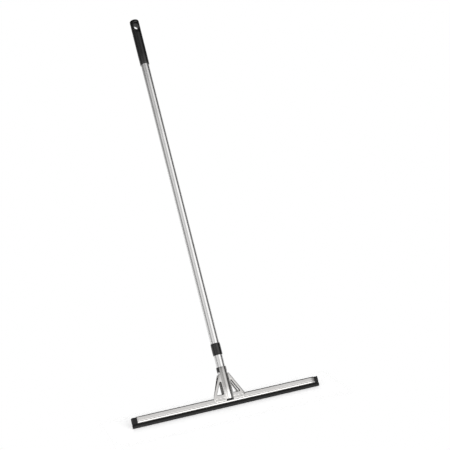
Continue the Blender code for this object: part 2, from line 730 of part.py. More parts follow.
def make_collar(parent):
    """Black twist collar over both tube ends, with an inner rib that runs in the clamp ring."""
    inner = TUBE_RADIUS + GAP
    rib = TUBE_RADIUS - COLLAR_RIB_DEPTH
    half_rib = COLLAR_RIB_HEIGHT / 2.0
    profile = [
        (COLLAR_RADIUS - COLLAR_EDGE, COLLAR_TOP),
        (COLLAR_RADIUS, COLLAR_TOP - COLLAR_EDGE),
        (COLLAR_RADIUS, COLLAR_BOTTOM + COLLAR_EDGE),
        (COLLAR_RADIUS - COLLAR_EDGE, COLLAR_BOTTOM),
        (inner, COLLAR_BOTTOM),
        (inner, CLAMP_MIDDLE - half_rib),
        (rib, CLAMP_MIDDLE - half_rib),
        (rib, CLAMP_MIDDLE + half_rib),
        (inner, CLAMP_MIDDLE + half_rib),
        (inner, COLLAR_TOP),
    ]
    collar = turned("coupling_collar", profile)
    return finish(collar, "coupling_collar", COLLAR_BLACK, place_of(parent), parent)


# ---------------------------------------------------------------- handle


def make_handle_tube():
    """Long tube from the coupling up into the grip."""
    tube = pipe("handle_tube", TUBE_RADIUS, TUBE_BORE_RADIUS, HANDLE_BOTTOM, HANDLE_TOP)
    stud_holes(tube)
    return finish(tube, "handle_tube", ALUMINIUM, (0.0, 0.0, HANDLE_BOTTOM))


def make_grip():
    """Moulded grip with a blind bore, and a hanging hole in a web between two recesses."""
    top = OVERALL_HEIGHT
    ceiling = OVERALL_HEIGHT - GRIP_TOP_WALL
    profile = [(0.0, top)]
    for step in range(5):
        angle = math.radians(90.0 - 90.0 * step / 4)
        radius = GRIP_RADIUS - GRIP_ROUND + GRIP_ROUND * math.cos(angle)
        profile.append((radius, top - GRIP_ROUND + GRIP_ROUND * math.sin(angle)))
    profile += [
        (GRIP_RADIUS, GRIP_BOTTOM + GRIP_FOOT_LENGTH),
        (GRIP_FOOT_RADIUS, GRIP_BOTTOM + GRIP_FOOT_EDGE),
        (GRIP_FOOT_RADIUS - GRIP_FOOT_EDGE, GRIP_BOTTOM),
        (GRIP_BORE_RADIUS, GRIP_BOTTOM),
        (GRIP_BORE_RADIUS, ceiling),
        (0.0, ceiling),
    ]
    grip = turned("hand_grip", profile)
    reach = 2.0 * GRIP_RADIUS
    for side in (-1.0, 1.0):
        near, far = sorted((side * HANG_WEB / 2.0, side * reach))
        half_width = HANG_RECESS_WIDTH / 2.0
        low = HANG_HOLE_HEIGHT - HANG_RECESS_HEIGHT / 2.0
        high = HANG_HOLE_HEIGHT + HANG_RECESS_HEIGHT / 2.0
        corners = [(-half_width, low), (half_width, low), (half_width, high), (-half_width, high)]
        recess = prism("recess", rounded(corners, half_width * 0.99, 8), near, far, TO_XZ)
        combine(grip, recess, "DIFFERENCE")
    hole = rod(
        "hang_hole",
        HANG_HOLE_DIAMETER / 2.0,
        (0.0, -reach, HANG_HOLE_HEIGHT),
        (0.0, reach, HANG_HOLE_HEIGHT),
        28,
    )
    combine(grip, hole, "DIFFERENCE")
    return finish(grip, "hand_grip", GRIP_BLACK, (0.0, 0.0, GRIP_BOTTOM))


# ---------------------------------------------------------------- assembly

collar_axis = joint_empty("collar_axis", (0.0, 0.0, (COLLAR_BOTTOM + COLLAR_TOP) / 2.0))
head_axis = joint_empty("head_axis", (0.0, 0.0, SPIGOT_SHOULDER))
blade_axis = joint_empty("blade_axis", (0.0, 0.0, CHANNEL_BOTTOM), head_axis)

make_handle_tube()
make_grip()
make_handle_bush()
make_bush_stud("bush_stud_left", -1.0)
make_bush_stud("bush_stud_right", 1.0)
make_clamp_ring()
make_collar(collar_axis)
make_spigot(head_axis)
make_spigot_pin(head_axis)
make_stub_tube(head_axis)
make_foot_plug(head_axis)
make_socket_bush(head_axis)
make_bracket_front(head_axis)
make_bracket_rear(head_axis)
make_tube_rivet("tube_rivet_lower", RIVET_HEIGHTS[0], head_axis)
make_tube_rivet("tube_rivet_upper", RIVET_HEIGHTS[1], head_axis)
make_channel(head_axis)
make_blade_strip("front_blade", -1.0, blade_axis)
make_blade_strip("rear_blade", 1.0, blade_axis)
make_spine(blade_axis)
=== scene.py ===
"""Looks of a floor squeegee: aluminium handle, twist coupling, pressed bracket, rubber blade."""

import math

import bmesh
import bpy
from mathutils import Matrix, Vector, noise


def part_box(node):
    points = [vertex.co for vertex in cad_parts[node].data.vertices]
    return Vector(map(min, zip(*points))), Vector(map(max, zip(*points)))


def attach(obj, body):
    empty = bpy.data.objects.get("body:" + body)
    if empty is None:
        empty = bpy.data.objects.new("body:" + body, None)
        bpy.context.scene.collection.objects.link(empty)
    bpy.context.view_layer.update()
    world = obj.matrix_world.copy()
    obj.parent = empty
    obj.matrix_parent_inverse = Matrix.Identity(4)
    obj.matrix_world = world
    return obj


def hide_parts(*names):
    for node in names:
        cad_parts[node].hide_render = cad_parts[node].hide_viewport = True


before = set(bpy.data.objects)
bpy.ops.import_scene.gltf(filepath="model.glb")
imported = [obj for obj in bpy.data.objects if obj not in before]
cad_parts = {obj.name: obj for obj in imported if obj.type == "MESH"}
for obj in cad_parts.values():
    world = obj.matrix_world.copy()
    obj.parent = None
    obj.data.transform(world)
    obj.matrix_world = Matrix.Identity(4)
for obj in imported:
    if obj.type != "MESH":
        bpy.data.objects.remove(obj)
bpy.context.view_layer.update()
MM = 0.001

# ---------------------------------------------------------------- studio
# The squeegee leans back on a white floor with the rear edge of its blade down. A wrap-round
# white studio lights it, with darker flags between the soft boxes that draw the tube's bands.

FLOOR_UP = Vector((0.0, -0.575, 0.818)).normalized()
FLOOR_HALF = 3.0
FLOOR_SHOWN = 0.08
FLOOR_LEVEL = 0.9
FLOOR_ROUGHNESS = 0.9
FLOOR_SPECULAR = 0.1
FLOOR_GLOW = 0.49
CAMERA_PLACE = Vector((-0.886, -2.136, -0.141))
CAMERA_AIM = Vector((0.4113, 0.8724, 0.2640)).normalized()
CAMERA_LENS = 67.6
STUDIO_STRENGTH = 1.35
# Light level round the object by direction, in degrees from the front towards +X.
STUDIO_BANDS = [
    (-180, 0.7), (-150, 0.6), (-125, 0.55), (-108, 0.3), (-96, 0.2), (-82, 0.4), (-66, 0.75),
    (-50, 0.85), (-32, 0.55), (-20, 0.62), (-8, 0.75), (3, 1.2), (12, 1.12), (20, 1.1), (28, 1.2),
    (34, 0.95), (44, 0.4), (56, 0.06), (76, 0.04), (96, 0.45), (118, 0.8), (150, 0.7), (180, 0.7),
]
# The same by height, as the direction's Z: a low soft box in front and a dark gap overhead.
STUDIO_HEIGHTS = [
    (-1.0, 0.9), (-0.6, 1.0), (-0.48, 2.6), (-0.2, 2.6), (-0.06, 1.0), (0.42, 1.0), (0.52, 0.08),
    (0.9, 0.08), (0.96, 1.2), (1.0, 1.6),
]


def put(tree, kind, values=None, **settings):
    """Adds a node, sets its properties, and links or sets its inputs by name or number."""
    made = tree.nodes.new(kind)
    for key, value in settings.items():
        setattr(made, key, value)
    for key, value in (values or {}).items():
        socket = made.inputs[key]
        if isinstance(value, bpy.types.NodeSocket):
            tree.links.new(value, socket)
        else:
            socket.default_value = value
    return made


def maths(tree, operation, first, second=0.0):
    """Output of a Math node."""
    return put(tree, "ShaderNodeMath", {0: first, 1: second}, operation=operation).outputs[0]


def remap(tree, value, low, high, to_low=0.0, to_high=1.0):
    """Output of a smooth clamped Map Range node."""
    limits = {0: value, 1: low, 2: high, 3: to_low, 4: to_high}
    return put(tree, "ShaderNodeMapRange", limits, interpolation_type="SMOOTHSTEP").outputs[0]


def mixed(tree, factor, first, second, mode="MIX"):
    """Colour output of a Mix node."""
    sockets = {0: factor, 6: first, 7: second}
    return put(tree, "ShaderNodeMix", sockets, data_type="RGBA", blend_type=mode).outputs[2]


def overlaid(tree, colour, mask, amount, top):
    """The colour with another one laid over it by a share of a mask."""
    return mixed(tree, maths(tree, "MULTIPLY", mask, amount), colour, top)


def grey(level, warmth=0.0):
    """A grey as RGBA, warmer or cooler by a little."""
    return (level * (1.0 + warmth), level, level * (1.0 - warmth), 1.0)


world = bpy.data.worlds.new("studio")
world.use_nodes = True
bpy.context.scene.world = world
sky = world.node_tree
sky.nodes.clear()
direction = put(sky, "ShaderNodeTexCoord").outputs["Generated"]
split = put(sky, "ShaderNodeSeparateXYZ", {0: direction})
turn_angle = maths(sky, "ARCTAN2", split.outputs[0], maths(sky, "MULTIPLY", split.outputs[1], -1.0))


def light_ramp(value, span, levels):
    """Colour ramp that gives the light level for a value between -span and span."""
    share = maths(sky, "ADD", maths(sky, "MULTIPLY", value, 0.5 / span), 0.5)
    ramp = put(sky, "ShaderNodeValToRGB", {0: share})
    stops = ramp.color_ramp.elements
    while len(stops) < len(levels):
        stops.new(0.5)
    for stop, (place, level) in zip(stops, levels):
        stop.position = 0.5 + 0.5 * place / span
        stop.color = grey(level)
    return ramp.outputs[0]


around = light_ramp(turn_angle, math.pi, [(math.radians(a), level) for a, level in STUDIO_BANDS])
upwards = light_ramp(split.outputs[2], 1.0, STUDIO_HEIGHTS)
room = mixed(sky, 1.0, around, upwards, "MULTIPLY")
lit = put(sky, "ShaderNodeBackground", {0: room, 1: STUDIO_STRENGTH})
backdrop = put(sky, "ShaderNodeBackground", {0: grey(1.0), 1: 1.0})
seen = put(sky, "ShaderNodeLightPath").outputs["Is Camera Ray"]
chosen = put(sky, "ShaderNodeMixShader", {0: seen, 1: lit.outputs[0], 2: backdrop.outputs[0]})
put(sky, "ShaderNodeOutputWorld", {0: chosen.outputs[0]})

bpy.context.scene.view_settings.view_transform = "Standard"

aside = CAMERA_AIM.cross(FLOOR_UP).normalized()
upward = aside.cross(CAMERA_AIM)
camera = bpy.data.objects.new("camera", bpy.data.cameras.new("camera"))
camera.data.lens = CAMERA_LENS
camera.data.sensor_width = 36.0
camera.matrix_world = Matrix.Translation(CAMERA_PLACE) @ Matrix(
    (aside, upward, -CAMERA_AIM)
).transposed().to_4x4()
bpy.context.scene.collection.objects.link(camera)
bpy.context.scene.camera = camera

blade_low, blade_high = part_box("rear_blade")
floor_point = Vector((0.0, blade_high.y, blade_low.z))
floor_turn = FLOOR_UP.to_track_quat("Z", "Y").to_matrix().to_4x4()
work = bmesh.new()
bmesh.ops.create_grid(work, x_segments=8, y_segments=8, size=FLOOR_HALF)
bmesh.ops.transform(work, matrix=Matrix.Translation(floor_point) @ floor_turn, verts=work.verts)
floor_mesh = bpy.data.meshes.new("studio_floor")
work.to_mesh(floor_mesh)
work.free()
studio_floor = bpy.data.objects.new("studio_floor", floor_mesh)
bpy.context.scene.collection.objects.link(studio_floor)
paint = bpy.data.materials.new("studio_floor")
paint.use_nodes = True
tree = paint.node_tree
shader = tree.nodes["Principled BSDF"]
shader.inputs["Base Color"].default_value = grey(FLOOR_LEVEL)
shader.inputs["Roughness"].default_value = FLOOR_ROUGHNESS
shader.inputs["Specular IOR Level"].default_value = FLOOR_SPECULAR
shader.inputs["Emission Color"].default_value = grey(1.0)
shader.inputs["Emission Strength"].default_value = FLOOR_GLOW
# Past the contact shadow the floor is nearly as white as the backdrop, so it isn't drawn there.
# A head that is let down through the floor is hidden only by the strip that is left.
surface = put(tree, "ShaderNodeNewGeometry")
floor_front = FLOOR_UP.cross(Vector((1.0, 0.0, 0.0))).normalized()
forward = put(
    tree, "ShaderNodeVectorMath", {0: surface.outputs["Position"], 1: floor_front},
    operation="DOT_PRODUCT",
).outputs["Value"]
off_line = maths(
    tree, "ABSOLUTE", maths(tree, "SUBTRACT", forward, floor_point.dot(floor_front))
)
across = put(tree, "ShaderNodeSeparateXYZ", {0: surface.outputs["Position"]}).outputs[0]
off_side = maths(tree, "SUBTRACT", maths(tree, "ABSOLUTE", across), blade_high.x)
away = remap(tree, maths(tree, "MAXIMUM", off_line, off_side), FLOOR_SHOWN / 2.0, FLOOR_SHOWN)
away = maths(tree, "MULTIPLY", away, put(tree, "ShaderNodeLightPath").outputs["Is Camera Ray"])
unseen = maths(tree, "MAXIMUM", away, surface.outputs["Backfacing"])
clear = put(tree, "ShaderNodeBsdfTransparent")
one_sided = put(tree, "ShaderNodeMixShader", {0: unseen, 1: shader.outputs[0], 2: clear.outputs[0]})
tree.links.new(one_sided.outputs[0], tree.nodes["Material Output"].inputs[0])
floor_mesh.materials.append(paint)

# ---------------------------------------------------------------- channel
# Carrier of the blade: one strip of galvanised sheet, rolled to a channel that opens downwards.
# Its lower edges are hemmed outwards in a bead and turn in under the rubber's shoulders.

SHEET = 1.0 * MM
HEM_BULGE = 1.1 * MM
HEM_SLANT = 1.1 * MM
HEM_HEIGHT = 3.4 * MM
CREASE_HEIGHT = 1.0 * MM
CREASE_DEPTH = 0.2 * MM
CHANNEL_BEND = 2.6 * MM
SHEET_EDGE = 0.16 * MM
SPANGLE_SIZE = 7.0 * MM
# Painted shade: a pocket of the channel's front face behind the bracket, seen through its foot
# notch, is darkened to near black for the shadow under the gutter.
NOTCH_SHADE_HALF = 11.5 * MM
NOTCH_SHADE_FOOT = 15.8 * MM
NOTCH_SHADE_SIDE_FADE = 0.4 * MM
NOTCH_SHADE_FOOT_FADE = 0.6 * MM
NOTCH_SHADE_FRONT = 7.2 * MM
NOTCH_SHADE_BACK = 6.8 * MM
# Painted shade: faces of the front pressing that lie behind its outer face are darkened to near
# black, standing in for the shade inside the pressing.
INNER_SHADE_FADE = 1.0 * MM
MERGE = 0.0000005


def rounded(corners, radii, steps=5, closed=True):
    """The line with each corner turned into an arc of its radius; 0 keeps the corner."""
    points = []
    count = len(corners)
    for index, corner in enumerate(corners):
        here = Vector(corner)
        size = radii[index] if isinstance(radii, (list, tuple)) else radii
        if size <= 0.0 or (not closed and index in (0, count - 1)):
            points.append((here.x, here.y))
            continue
        before = (Vector(corners[index - 1]) - here).normalized()
        after = (Vector(corners[(index + 1) % count]) - here).normalized()
        half = before.angle(after) / 2.0
        centre = here + (before + after).normalized() * (size / math.sin(half))
        start = here + before * (size / math.tan(half)) - centre
        end = here + after * (size / math.tan(half)) - centre
        for step in range(steps + 1):
            spoke = start.lerp(end, step / steps).normalized() * size
            points.append((centre.x + spoke.x, centre.y + spoke.y))
    return points


def sheet_section(middle, thickness):
    """Closed outline of a sheet of this thickness along its open middle line."""
    near, far = [], []
    line = [Vector(point) for point in middle]
    for index, here in enumerate(line):
        before = (here - line[index - 1]).normalized() if index else None
        after = (line[index + 1] - here).normalized() if index < len(line) - 1 else None
        along = ((before or after) + (after or before)).normalized()
        stretch = 1.0 / max(0.3, along.dot(after or before))
        side = Vector((-along.y, along.x)) * (thickness / 2.0 * stretch)
        near.append(tuple(here + side))
        far.append(tuple(here - side))
    return near + far[::-1]


def piece_from(name, work):
    """The bmesh as a closed piece at the origin with its faces turned outwards."""
    bmesh.ops.remove_doubles(work, verts=work.verts, dist=MERGE)
    bmesh.ops.recalc_face_normals(work, faces=work.faces)
    mesh = bpy.data.meshes.new(name)
    work.to_mesh(mesh)
    work.free()
    piece = bpy.data.objects.new(name, mesh)
    bpy.context.scene.collection.objects.link(piece)
    return piece


def lofted(name, rings):
    """Solid through rings of equally many points, closed by a face at each end."""
    work = bmesh.new()
    made = [[work.verts.new(point) for point in ring] for ring in rings]
    for near, far in zip(made, made[1:]):
        for index in range(len(near)):
            after = (index + 1) % len(near)
            work.faces.new((near[index], near[after], far[after], far[index]))
    work.faces.new(made[0][::-1])
    work.faces.new(made[-1])
    return piece_from(name, work)


def box_outline(left, low, right, high):
    """The four corners of a rectangle."""
    return [(left, low), (right, low), (right, high), (left, high)]


def risen(outline, levels):
    """Rings of an outline in the XY plane at each height."""
    return [[(x, y, z) for x, y in outline] for z in levels]


def applied(piece):
    """The piece with its modifiers made real, as one plain mesh."""
    bpy.context.view_layer.update()
    graph = bpy.context.evaluated_depsgraph_get()
    mesh = bpy.data.meshes.new_from_object(piece.evaluated_get(graph))
    piece.modifiers.clear()
    piece.data = mesh
    return piece


def softened(piece, width, segments=2, angle=40.0):
    """Rounds every edge that is sharper than an angle."""
    bevel = piece.modifiers.new("softened", "BEVEL")
    bevel.width = width
    bevel.segments = segments
    bevel.limit_method = "ANGLE"
    bevel.angle_limit = math.radians(angle)
    bevel.use_clamp_overlap = False
    return applied(piece)


def smoothed(piece, angle=32.0):
    """Shades round faces smooth and leaves true edges sharp."""
    piece.data.shade_smooth()
    piece.data.set_sharp_from_angle(angle=math.radians(angle))
    return piece


def dressed(piece, material):
    """Gives the whole piece one material."""
    piece.data.materials.clear()
    piece.data.materials.append(material)
    return piece


def shader_group(name, inputs, outputs):
    """A shader node group with named sockets, with its input and output nodes."""
    group = bpy.data.node_groups.new(name, "ShaderNodeTree")
    for label, kind, value in inputs:
        socket = group.interface.new_socket(label, in_out="INPUT", socket_type=kind)
        if value is not None:
            socket.default_value = value
    for label, kind in outputs:
        group.interface.new_socket(label, in_out="OUTPUT", socket_type=kind)
    return group, group.nodes.new("NodeGroupInput"), group.nodes.new("NodeGroupOutput")


def use_group(tree, group, values):
    """Places a node group and sets or links its inputs."""
    made = tree.nodes.new("ShaderNodeGroup")
    made.node_tree = group
    for key, value in values.items():
        if isinstance(value, bpy.types.NodeSocket):
            tree.links.new(value, made.inputs[key])
        else:
            made.inputs[key].default_value = value
    return made


def noise_of(tree, vector, scale, detail=3.0, roughness=0.55):
    """Value output of a Noise Texture."""
    values = {"Vector": vector, "Scale": scale, "Detail": detail, "Roughness": roughness}
    return put(tree, "ShaderNodeTexNoise", values).outputs[0]


VECTOR, FLOAT = "NodeSocketVector", "NodeSocketFloat"

# Grain left by rolls or a drawing die: fine lines that run along the direction of small stretch.
DRAWN_GRAIN, given, result = shader_group(
    "drawn_grain",
    [("Vector", VECTOR, None), ("Stretch", VECTOR, (1.0, 1.0, 1.0))],
    [("Fine", FLOAT), ("Broad", FLOAT)],
)
stretched = put(
    DRAWN_GRAIN, "ShaderNodeVectorMath",
    {0: given.outputs["Vector"], 1: given.outputs["Stretch"]}, operation="MULTIPLY",
).outputs[0]
DRAWN_GRAIN.links.new(noise_of(DRAWN_GRAIN, stretched, 1.0, 4.0, 0.7), result.inputs["Fine"])
DRAWN_GRAIN.links.new(noise_of(DRAWN_GRAIN, stretched, 0.17, 2.0), result.inputs["Broad"])

# Marks of handling: cloudy smudges, and sparse hairline scratches in two directions.
HANDLED, given, result = shader_group(
    "handling_marks",
    [("Vector", VECTOR, None), ("Smudge Scale", FLOAT, 30.0), ("Scratch Scale", FLOAT, 60.0)],
    [("Smudge", FLOAT), ("Scratch", FLOAT)],
)
clouds = noise_of(HANDLED, given.outputs["Vector"], given.outputs["Smudge Scale"], 5.0, 0.6)
HANDLED.links.new(remap(HANDLED, clouds, 0.42, 0.72), result.inputs["Smudge"])
hairlines = None
for slant in (0.5, 2.2):
    turned_by = put(
        HANDLED, "ShaderNodeMapping",
        {0: given.outputs["Vector"], 2: (0.3 * slant, slant, 0.7 * slant), 3: (1.0, 0.06, 1.0)},
    ).outputs[0]
    cells = put(
        HANDLED, "ShaderNodeTexVoronoi",
        {"Vector": turned_by, "Scale": given.outputs["Scratch Scale"]},
        feature="DISTANCE_TO_EDGE",
    ).outputs[0]
    line = remap(HANDLED, cells, 0.0, 0.012, 1.0, 0.0)
    hairlines = line if hairlines is None else maths(HANDLED, "MAXIMUM", hairlines, line)
patchy = remap(HANDLED, noise_of(HANDLED, given.outputs["Vector"], 45.0), 0.52, 0.7)
HANDLED.links.new(maths(HANDLED, "MULTIPLY", hairlines, patchy), result.inputs["Scratch"])

# Worn edges: where a softened normal leaves the true one, broken up so that it isn't a neat line.
WORN_EDGE, given, result = shader_group(
    "worn_edge",
    [("Vector", VECTOR, None), ("Radius", FLOAT, 0.0006), ("Breakup", FLOAT, 180.0)],
    [("Mask", FLOAT)],
)
soft_normal = put(WORN_EDGE, "ShaderNodeBevel", {0: given.outputs["Radius"]}, samples=4).outputs[0]
true_normal = put(WORN_EDGE, "ShaderNodeNewGeometry").outputs["Normal"]
agree = put(
    WORN_EDGE, "ShaderNodeVectorMath", {0: soft_normal, 1: true_normal}, operation="DOT_PRODUCT"
).outputs["Value"]
edge = remap(WORN_EDGE, agree, 0.86, 0.995, 1.0, 0.0)
broken = remap(
    WORN_EDGE, noise_of(WORN_EDGE, given.outputs["Vector"], given.outputs["Breakup"]), 0.35, 0.6
)
WORN_EDGE.links.new(maths(WORN_EDGE, "MULTIPLY", edge, broken), result.inputs["Mask"])

# Dust that has settled on faces that look up, in grainy patches.
SETTLED_DUST, given, result = shader_group(
    "settled_dust", [("Vector", VECTOR, None), ("Scale", FLOAT, 90.0)], [("Mask", FLOAT)]
)
facing = put(
    SETTLED_DUST, "ShaderNodeSeparateXYZ",
    {0: put(SETTLED_DUST, "ShaderNodeNewGeometry").outputs["Normal"]},
).outputs[2]
lying = remap(SETTLED_DUST, facing, 0.1, 0.9)
grains = remap(
    SETTLED_DUST,
    noise_of(SETTLED_DUST, given.outputs["Vector"], given.outputs["Scale"], 8.0, 0.75), 0.4, 0.75,
)
SETTLED_DUST.links.new(maths(SETTLED_DUST, "MULTIPLY", lying, grains), result.inputs["Mask"])


def new_material(name):
    """A material with its tree, its shader and the piece's own coordinates."""
    material = bpy.data.materials.new(name)
    material.use_nodes = True
    tree = material.node_tree
    place = put(tree, "ShaderNodeTexCoord").outputs["Object"]
    return material, tree, tree.nodes["Principled BSDF"], place


def bumped(tree, shader, height, strength, distance=0.0001, under=None):
    """Adds a bump to the shader's normal, on top of another bump."""
    values = {"Height": height, "Strength": strength, "Distance": distance}
    if under is not None:
        values["Normal"] = under
    bump = put(tree, "ShaderNodeBump", values).outputs[0]
    tree.links.new(bump, shader.inputs["Normal"])
    return bump


def galvanised(name, stretch, inner_shade=None, notch_shade=None):
    """Galvanised sheet: faint zinc spangle, rolling grain, dull smudges and bright worn edges, with
    painted shade inside a front pressing or in a pocket of the front face where asked.
    """
    material, tree, shader, place = new_material(name)
    grain = use_group(tree, DRAWN_GRAIN, {"Vector": place, "Stretch": stretch})
    marks = use_group(tree, HANDLED, {"Vector": place, "Smudge Scale": 26.0, "Scratch Scale": 70.0})
    worn = use_group(tree, WORN_EDGE, {"Vector": place, "Radius": 0.0005})
    dust = use_group(tree, SETTLED_DUST, {"Vector": place})
    warped = put(
        tree, "ShaderNodeVectorMath",
        {0: put(tree, "ShaderNodeTexNoise", {"Vector": place, "Scale": 120.0}).outputs["Color"],
         1: (0.003, 0.003, 0.003), 2: place},
        operation="MULTIPLY_ADD",
    ).outputs[0]
    spangle = put(tree, "ShaderNodeTexVoronoi", {"Vector": warped, "Scale": 1.0 / SPANGLE_SIZE})
    flake = put(tree, "ShaderNodeSeparateXYZ", {0: spangle.outputs["Color"]}).outputs[0]
    zinc = mixed(tree, flake, grey(0.395, 0.022), grey(0.41, 0.018))
    zinc = overlaid(tree, zinc, grain.outputs["Broad"], 0.2, grey(0.35, 0.025))
    zinc = overlaid(tree, zinc, marks.outputs["Smudge"], 0.15, grey(0.35, 0.02))
    zinc = overlaid(tree, zinc, worn.outputs["Mask"], 0.25, grey(0.5))
    zinc = overlaid(tree, zinc, dust.outputs["Mask"], 0.12, grey(0.35, 0.05))
    # Painted shade: faces of the front pressing behind its outer face (cut edges, window flanges,
    # inner side) turn near black where shade falls inside the pressing.
    if inner_shade:
        outer, inner = inner_shade
        depth = put(tree, "ShaderNodeSeparateXYZ", {0: place}).outputs[1]
        inside = remap(tree, depth, -outer, -inner)
        front_only = remap(tree, depth, 0.0, INNER_SHADE_FADE, 1.0, 0.0)
        inside = maths(tree, "MULTIPLY", inside, front_only)
        zinc = mixed(tree, inside, zinc, grey(0.07, 0.04))
    # Painted shade: the front face in a pocket round the middle, above a height, turns near black,
    # standing in for the shadow under the gutter.
    if notch_shade:
        half, foot = notch_shade
        across, depth, height = put(tree, "ShaderNodeSeparateXYZ", {0: place}).outputs[:3]
        pocket = remap(tree, maths(tree, "ABSOLUTE", across), half - NOTCH_SHADE_SIDE_FADE, half, 1.0, 0.0)
        front_face = remap(tree, depth, -NOTCH_SHADE_FRONT, -NOTCH_SHADE_BACK, 1.0, 0.0)
        pocket = maths(tree, "MULTIPLY", pocket, front_face)
        above_foot = remap(tree, height, foot, foot + NOTCH_SHADE_FOOT_FADE)
        pocket = maths(tree, "MULTIPLY", pocket, above_foot)
        zinc = mixed(tree, pocket, zinc, grey(0.03))
    tree.links.new(zinc, shader.inputs["Base Color"])
    shader.inputs["Metallic"].default_value = 1.0
    rough = maths(tree, "MULTIPLY_ADD", grain.outputs["Fine"], 0.05)
    rough.node.inputs[2].default_value = 0.16
    rough = maths(tree, "ADD", rough, maths(tree, "MULTIPLY", flake, 0.02))
    rough = maths(tree, "ADD", rough, maths(tree, "MULTIPLY", marks.outputs["Smudge"], 0.04))
    rough = maths(tree, "SUBTRACT", rough, maths(tree, "MULTIPLY", marks.outputs["Scratch"], 0.08))
    tree.links.new(rough, shader.inputs["Roughness"])
    under = bumped(tree, shader, grain.outputs["Fine"], 0.08, 0.00002)
    under = bumped(tree, shader, flake, 0.03, 0.00002, under)
    bumped(tree, shader, marks.outputs["Scratch"], -0.12, 0.00002, under)
    return material


channel_low, channel_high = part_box("channel")
wall = channel_high.y - SHEET / 2.0
mouth = wall - SHEET / 2.0 - 1.7 * MM
lip = channel_low.z + SHEET / 2.0 + 0.25 * MM
half_line = rounded(
    [
        (mouth, lip),
        (wall + HEM_BULGE - HEM_SLANT, lip),
        (wall + HEM_BULGE, lip + HEM_HEIGHT),
        (wall - CREASE_DEPTH, lip + HEM_HEIGHT + CREASE_HEIGHT),
        (wall, lip + HEM_HEIGHT + 2.2 * CREASE_HEIGHT),
        (wall, channel_high.z - SHEET / 2.0),
        (0.0, channel_high.z - SHEET / 2.0),
    ],
    [0.0, 0.6 * MM, 0.7 * MM, 0.7 * MM, 2.0 * MM, CHANNEL_BEND, 0.0],
    6,
    closed=False,
)
middle_line = half_line + [(-y, z) for y, z in reversed(half_line[:-1])]
section = sheet_section(middle_line, SHEET)
stations = [channel_low.x + (channel_high.x - channel_low.x) * step / 40 for step in range(41)]
channel = lofted("channel_shell", [[(x, y, z) for y, z in section] for x in stations])
softened(channel, SHEET_EDGE, 2, 60.0)
smoothed(channel)
# The channel's finish paints shade into the pocket of its front face behind the bracket's foot
# notch.
channel_finish = galvanised(
    "galvanised_channel", (60.0, 2400.0, 2400.0), notch_shade=(NOTCH_SHADE_HALF, NOTCH_SHADE_FOOT)
)
dressed(channel, channel_finish)
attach(channel, "head")
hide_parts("channel")

# ---------------------------------------------------------------- blade
# Two strips of closed-cell rubber, cut from sheet and pulled into the channel side by side with
# a thin spine between them. Their full lips stand out below the channel and past its ends.

LIP_TOP_INSET = 2.0 * MM
LIP_FOOT_INSET = 1.6 * MM
LIP_ROUND = 2.0 * MM
NECK_INSET = 1.7 * MM
LIP_CLEARANCE = 0.25 * MM
SLOT_HALF = 1.2 * MM
RIPPLE = 0.16 * MM
CUT_EDGE = 0.35 * MM
SPINE_ROUND = 0.35 * MM

rubber, tree, shader, place = new_material("cellular_rubber")
grain = use_group(tree, DRAWN_GRAIN, {"Vector": place, "Stretch": (40.0, 900.0, 900.0)})
marks = use_group(tree, HANDLED, {"Vector": place, "Smudge Scale": 22.0, "Scratch Scale": 40.0})
worn = use_group(tree, WORN_EDGE, {"Vector": place, "Radius": 0.0007, "Breakup": 240.0})
dust = use_group(tree, SETTLED_DUST, {"Vector": place, "Scale": 140.0})
cells = put(tree, "ShaderNodeTexVoronoi", {"Vector": place, "Scale": 1500.0}).outputs["Distance"]
pores = remap(tree, cells, 0.1, 0.42, 1.0, 0.0)
skin = mixed(tree, pores, grey(0.003, 0.03), grey(0.001, 0.02))
skin = overlaid(tree, skin, marks.outputs["Smudge"], 0.5, grey(0.005, 0.05))
skin = overlaid(tree, skin, worn.outputs["Mask"], 0.4, grey(0.009, 0.04))
skin = overlaid(tree, skin, dust.outputs["Mask"], 0.1, grey(0.05, 0.08))
tree.links.new(skin, shader.inputs["Base Color"])
rough = maths(tree, "MULTIPLY_ADD", grain.outputs["Broad"], 0.2)
rough.node.inputs[2].default_value = 0.3
tree.links.new(rough, shader.inputs["Roughness"])
shader.inputs["Specular IOR Level"].default_value = 0.2
under = bumped(tree, shader, pores, -0.35, 0.0001)
bumped(tree, shader, grain.outputs["Fine"], 0.3, 0.00008, under)

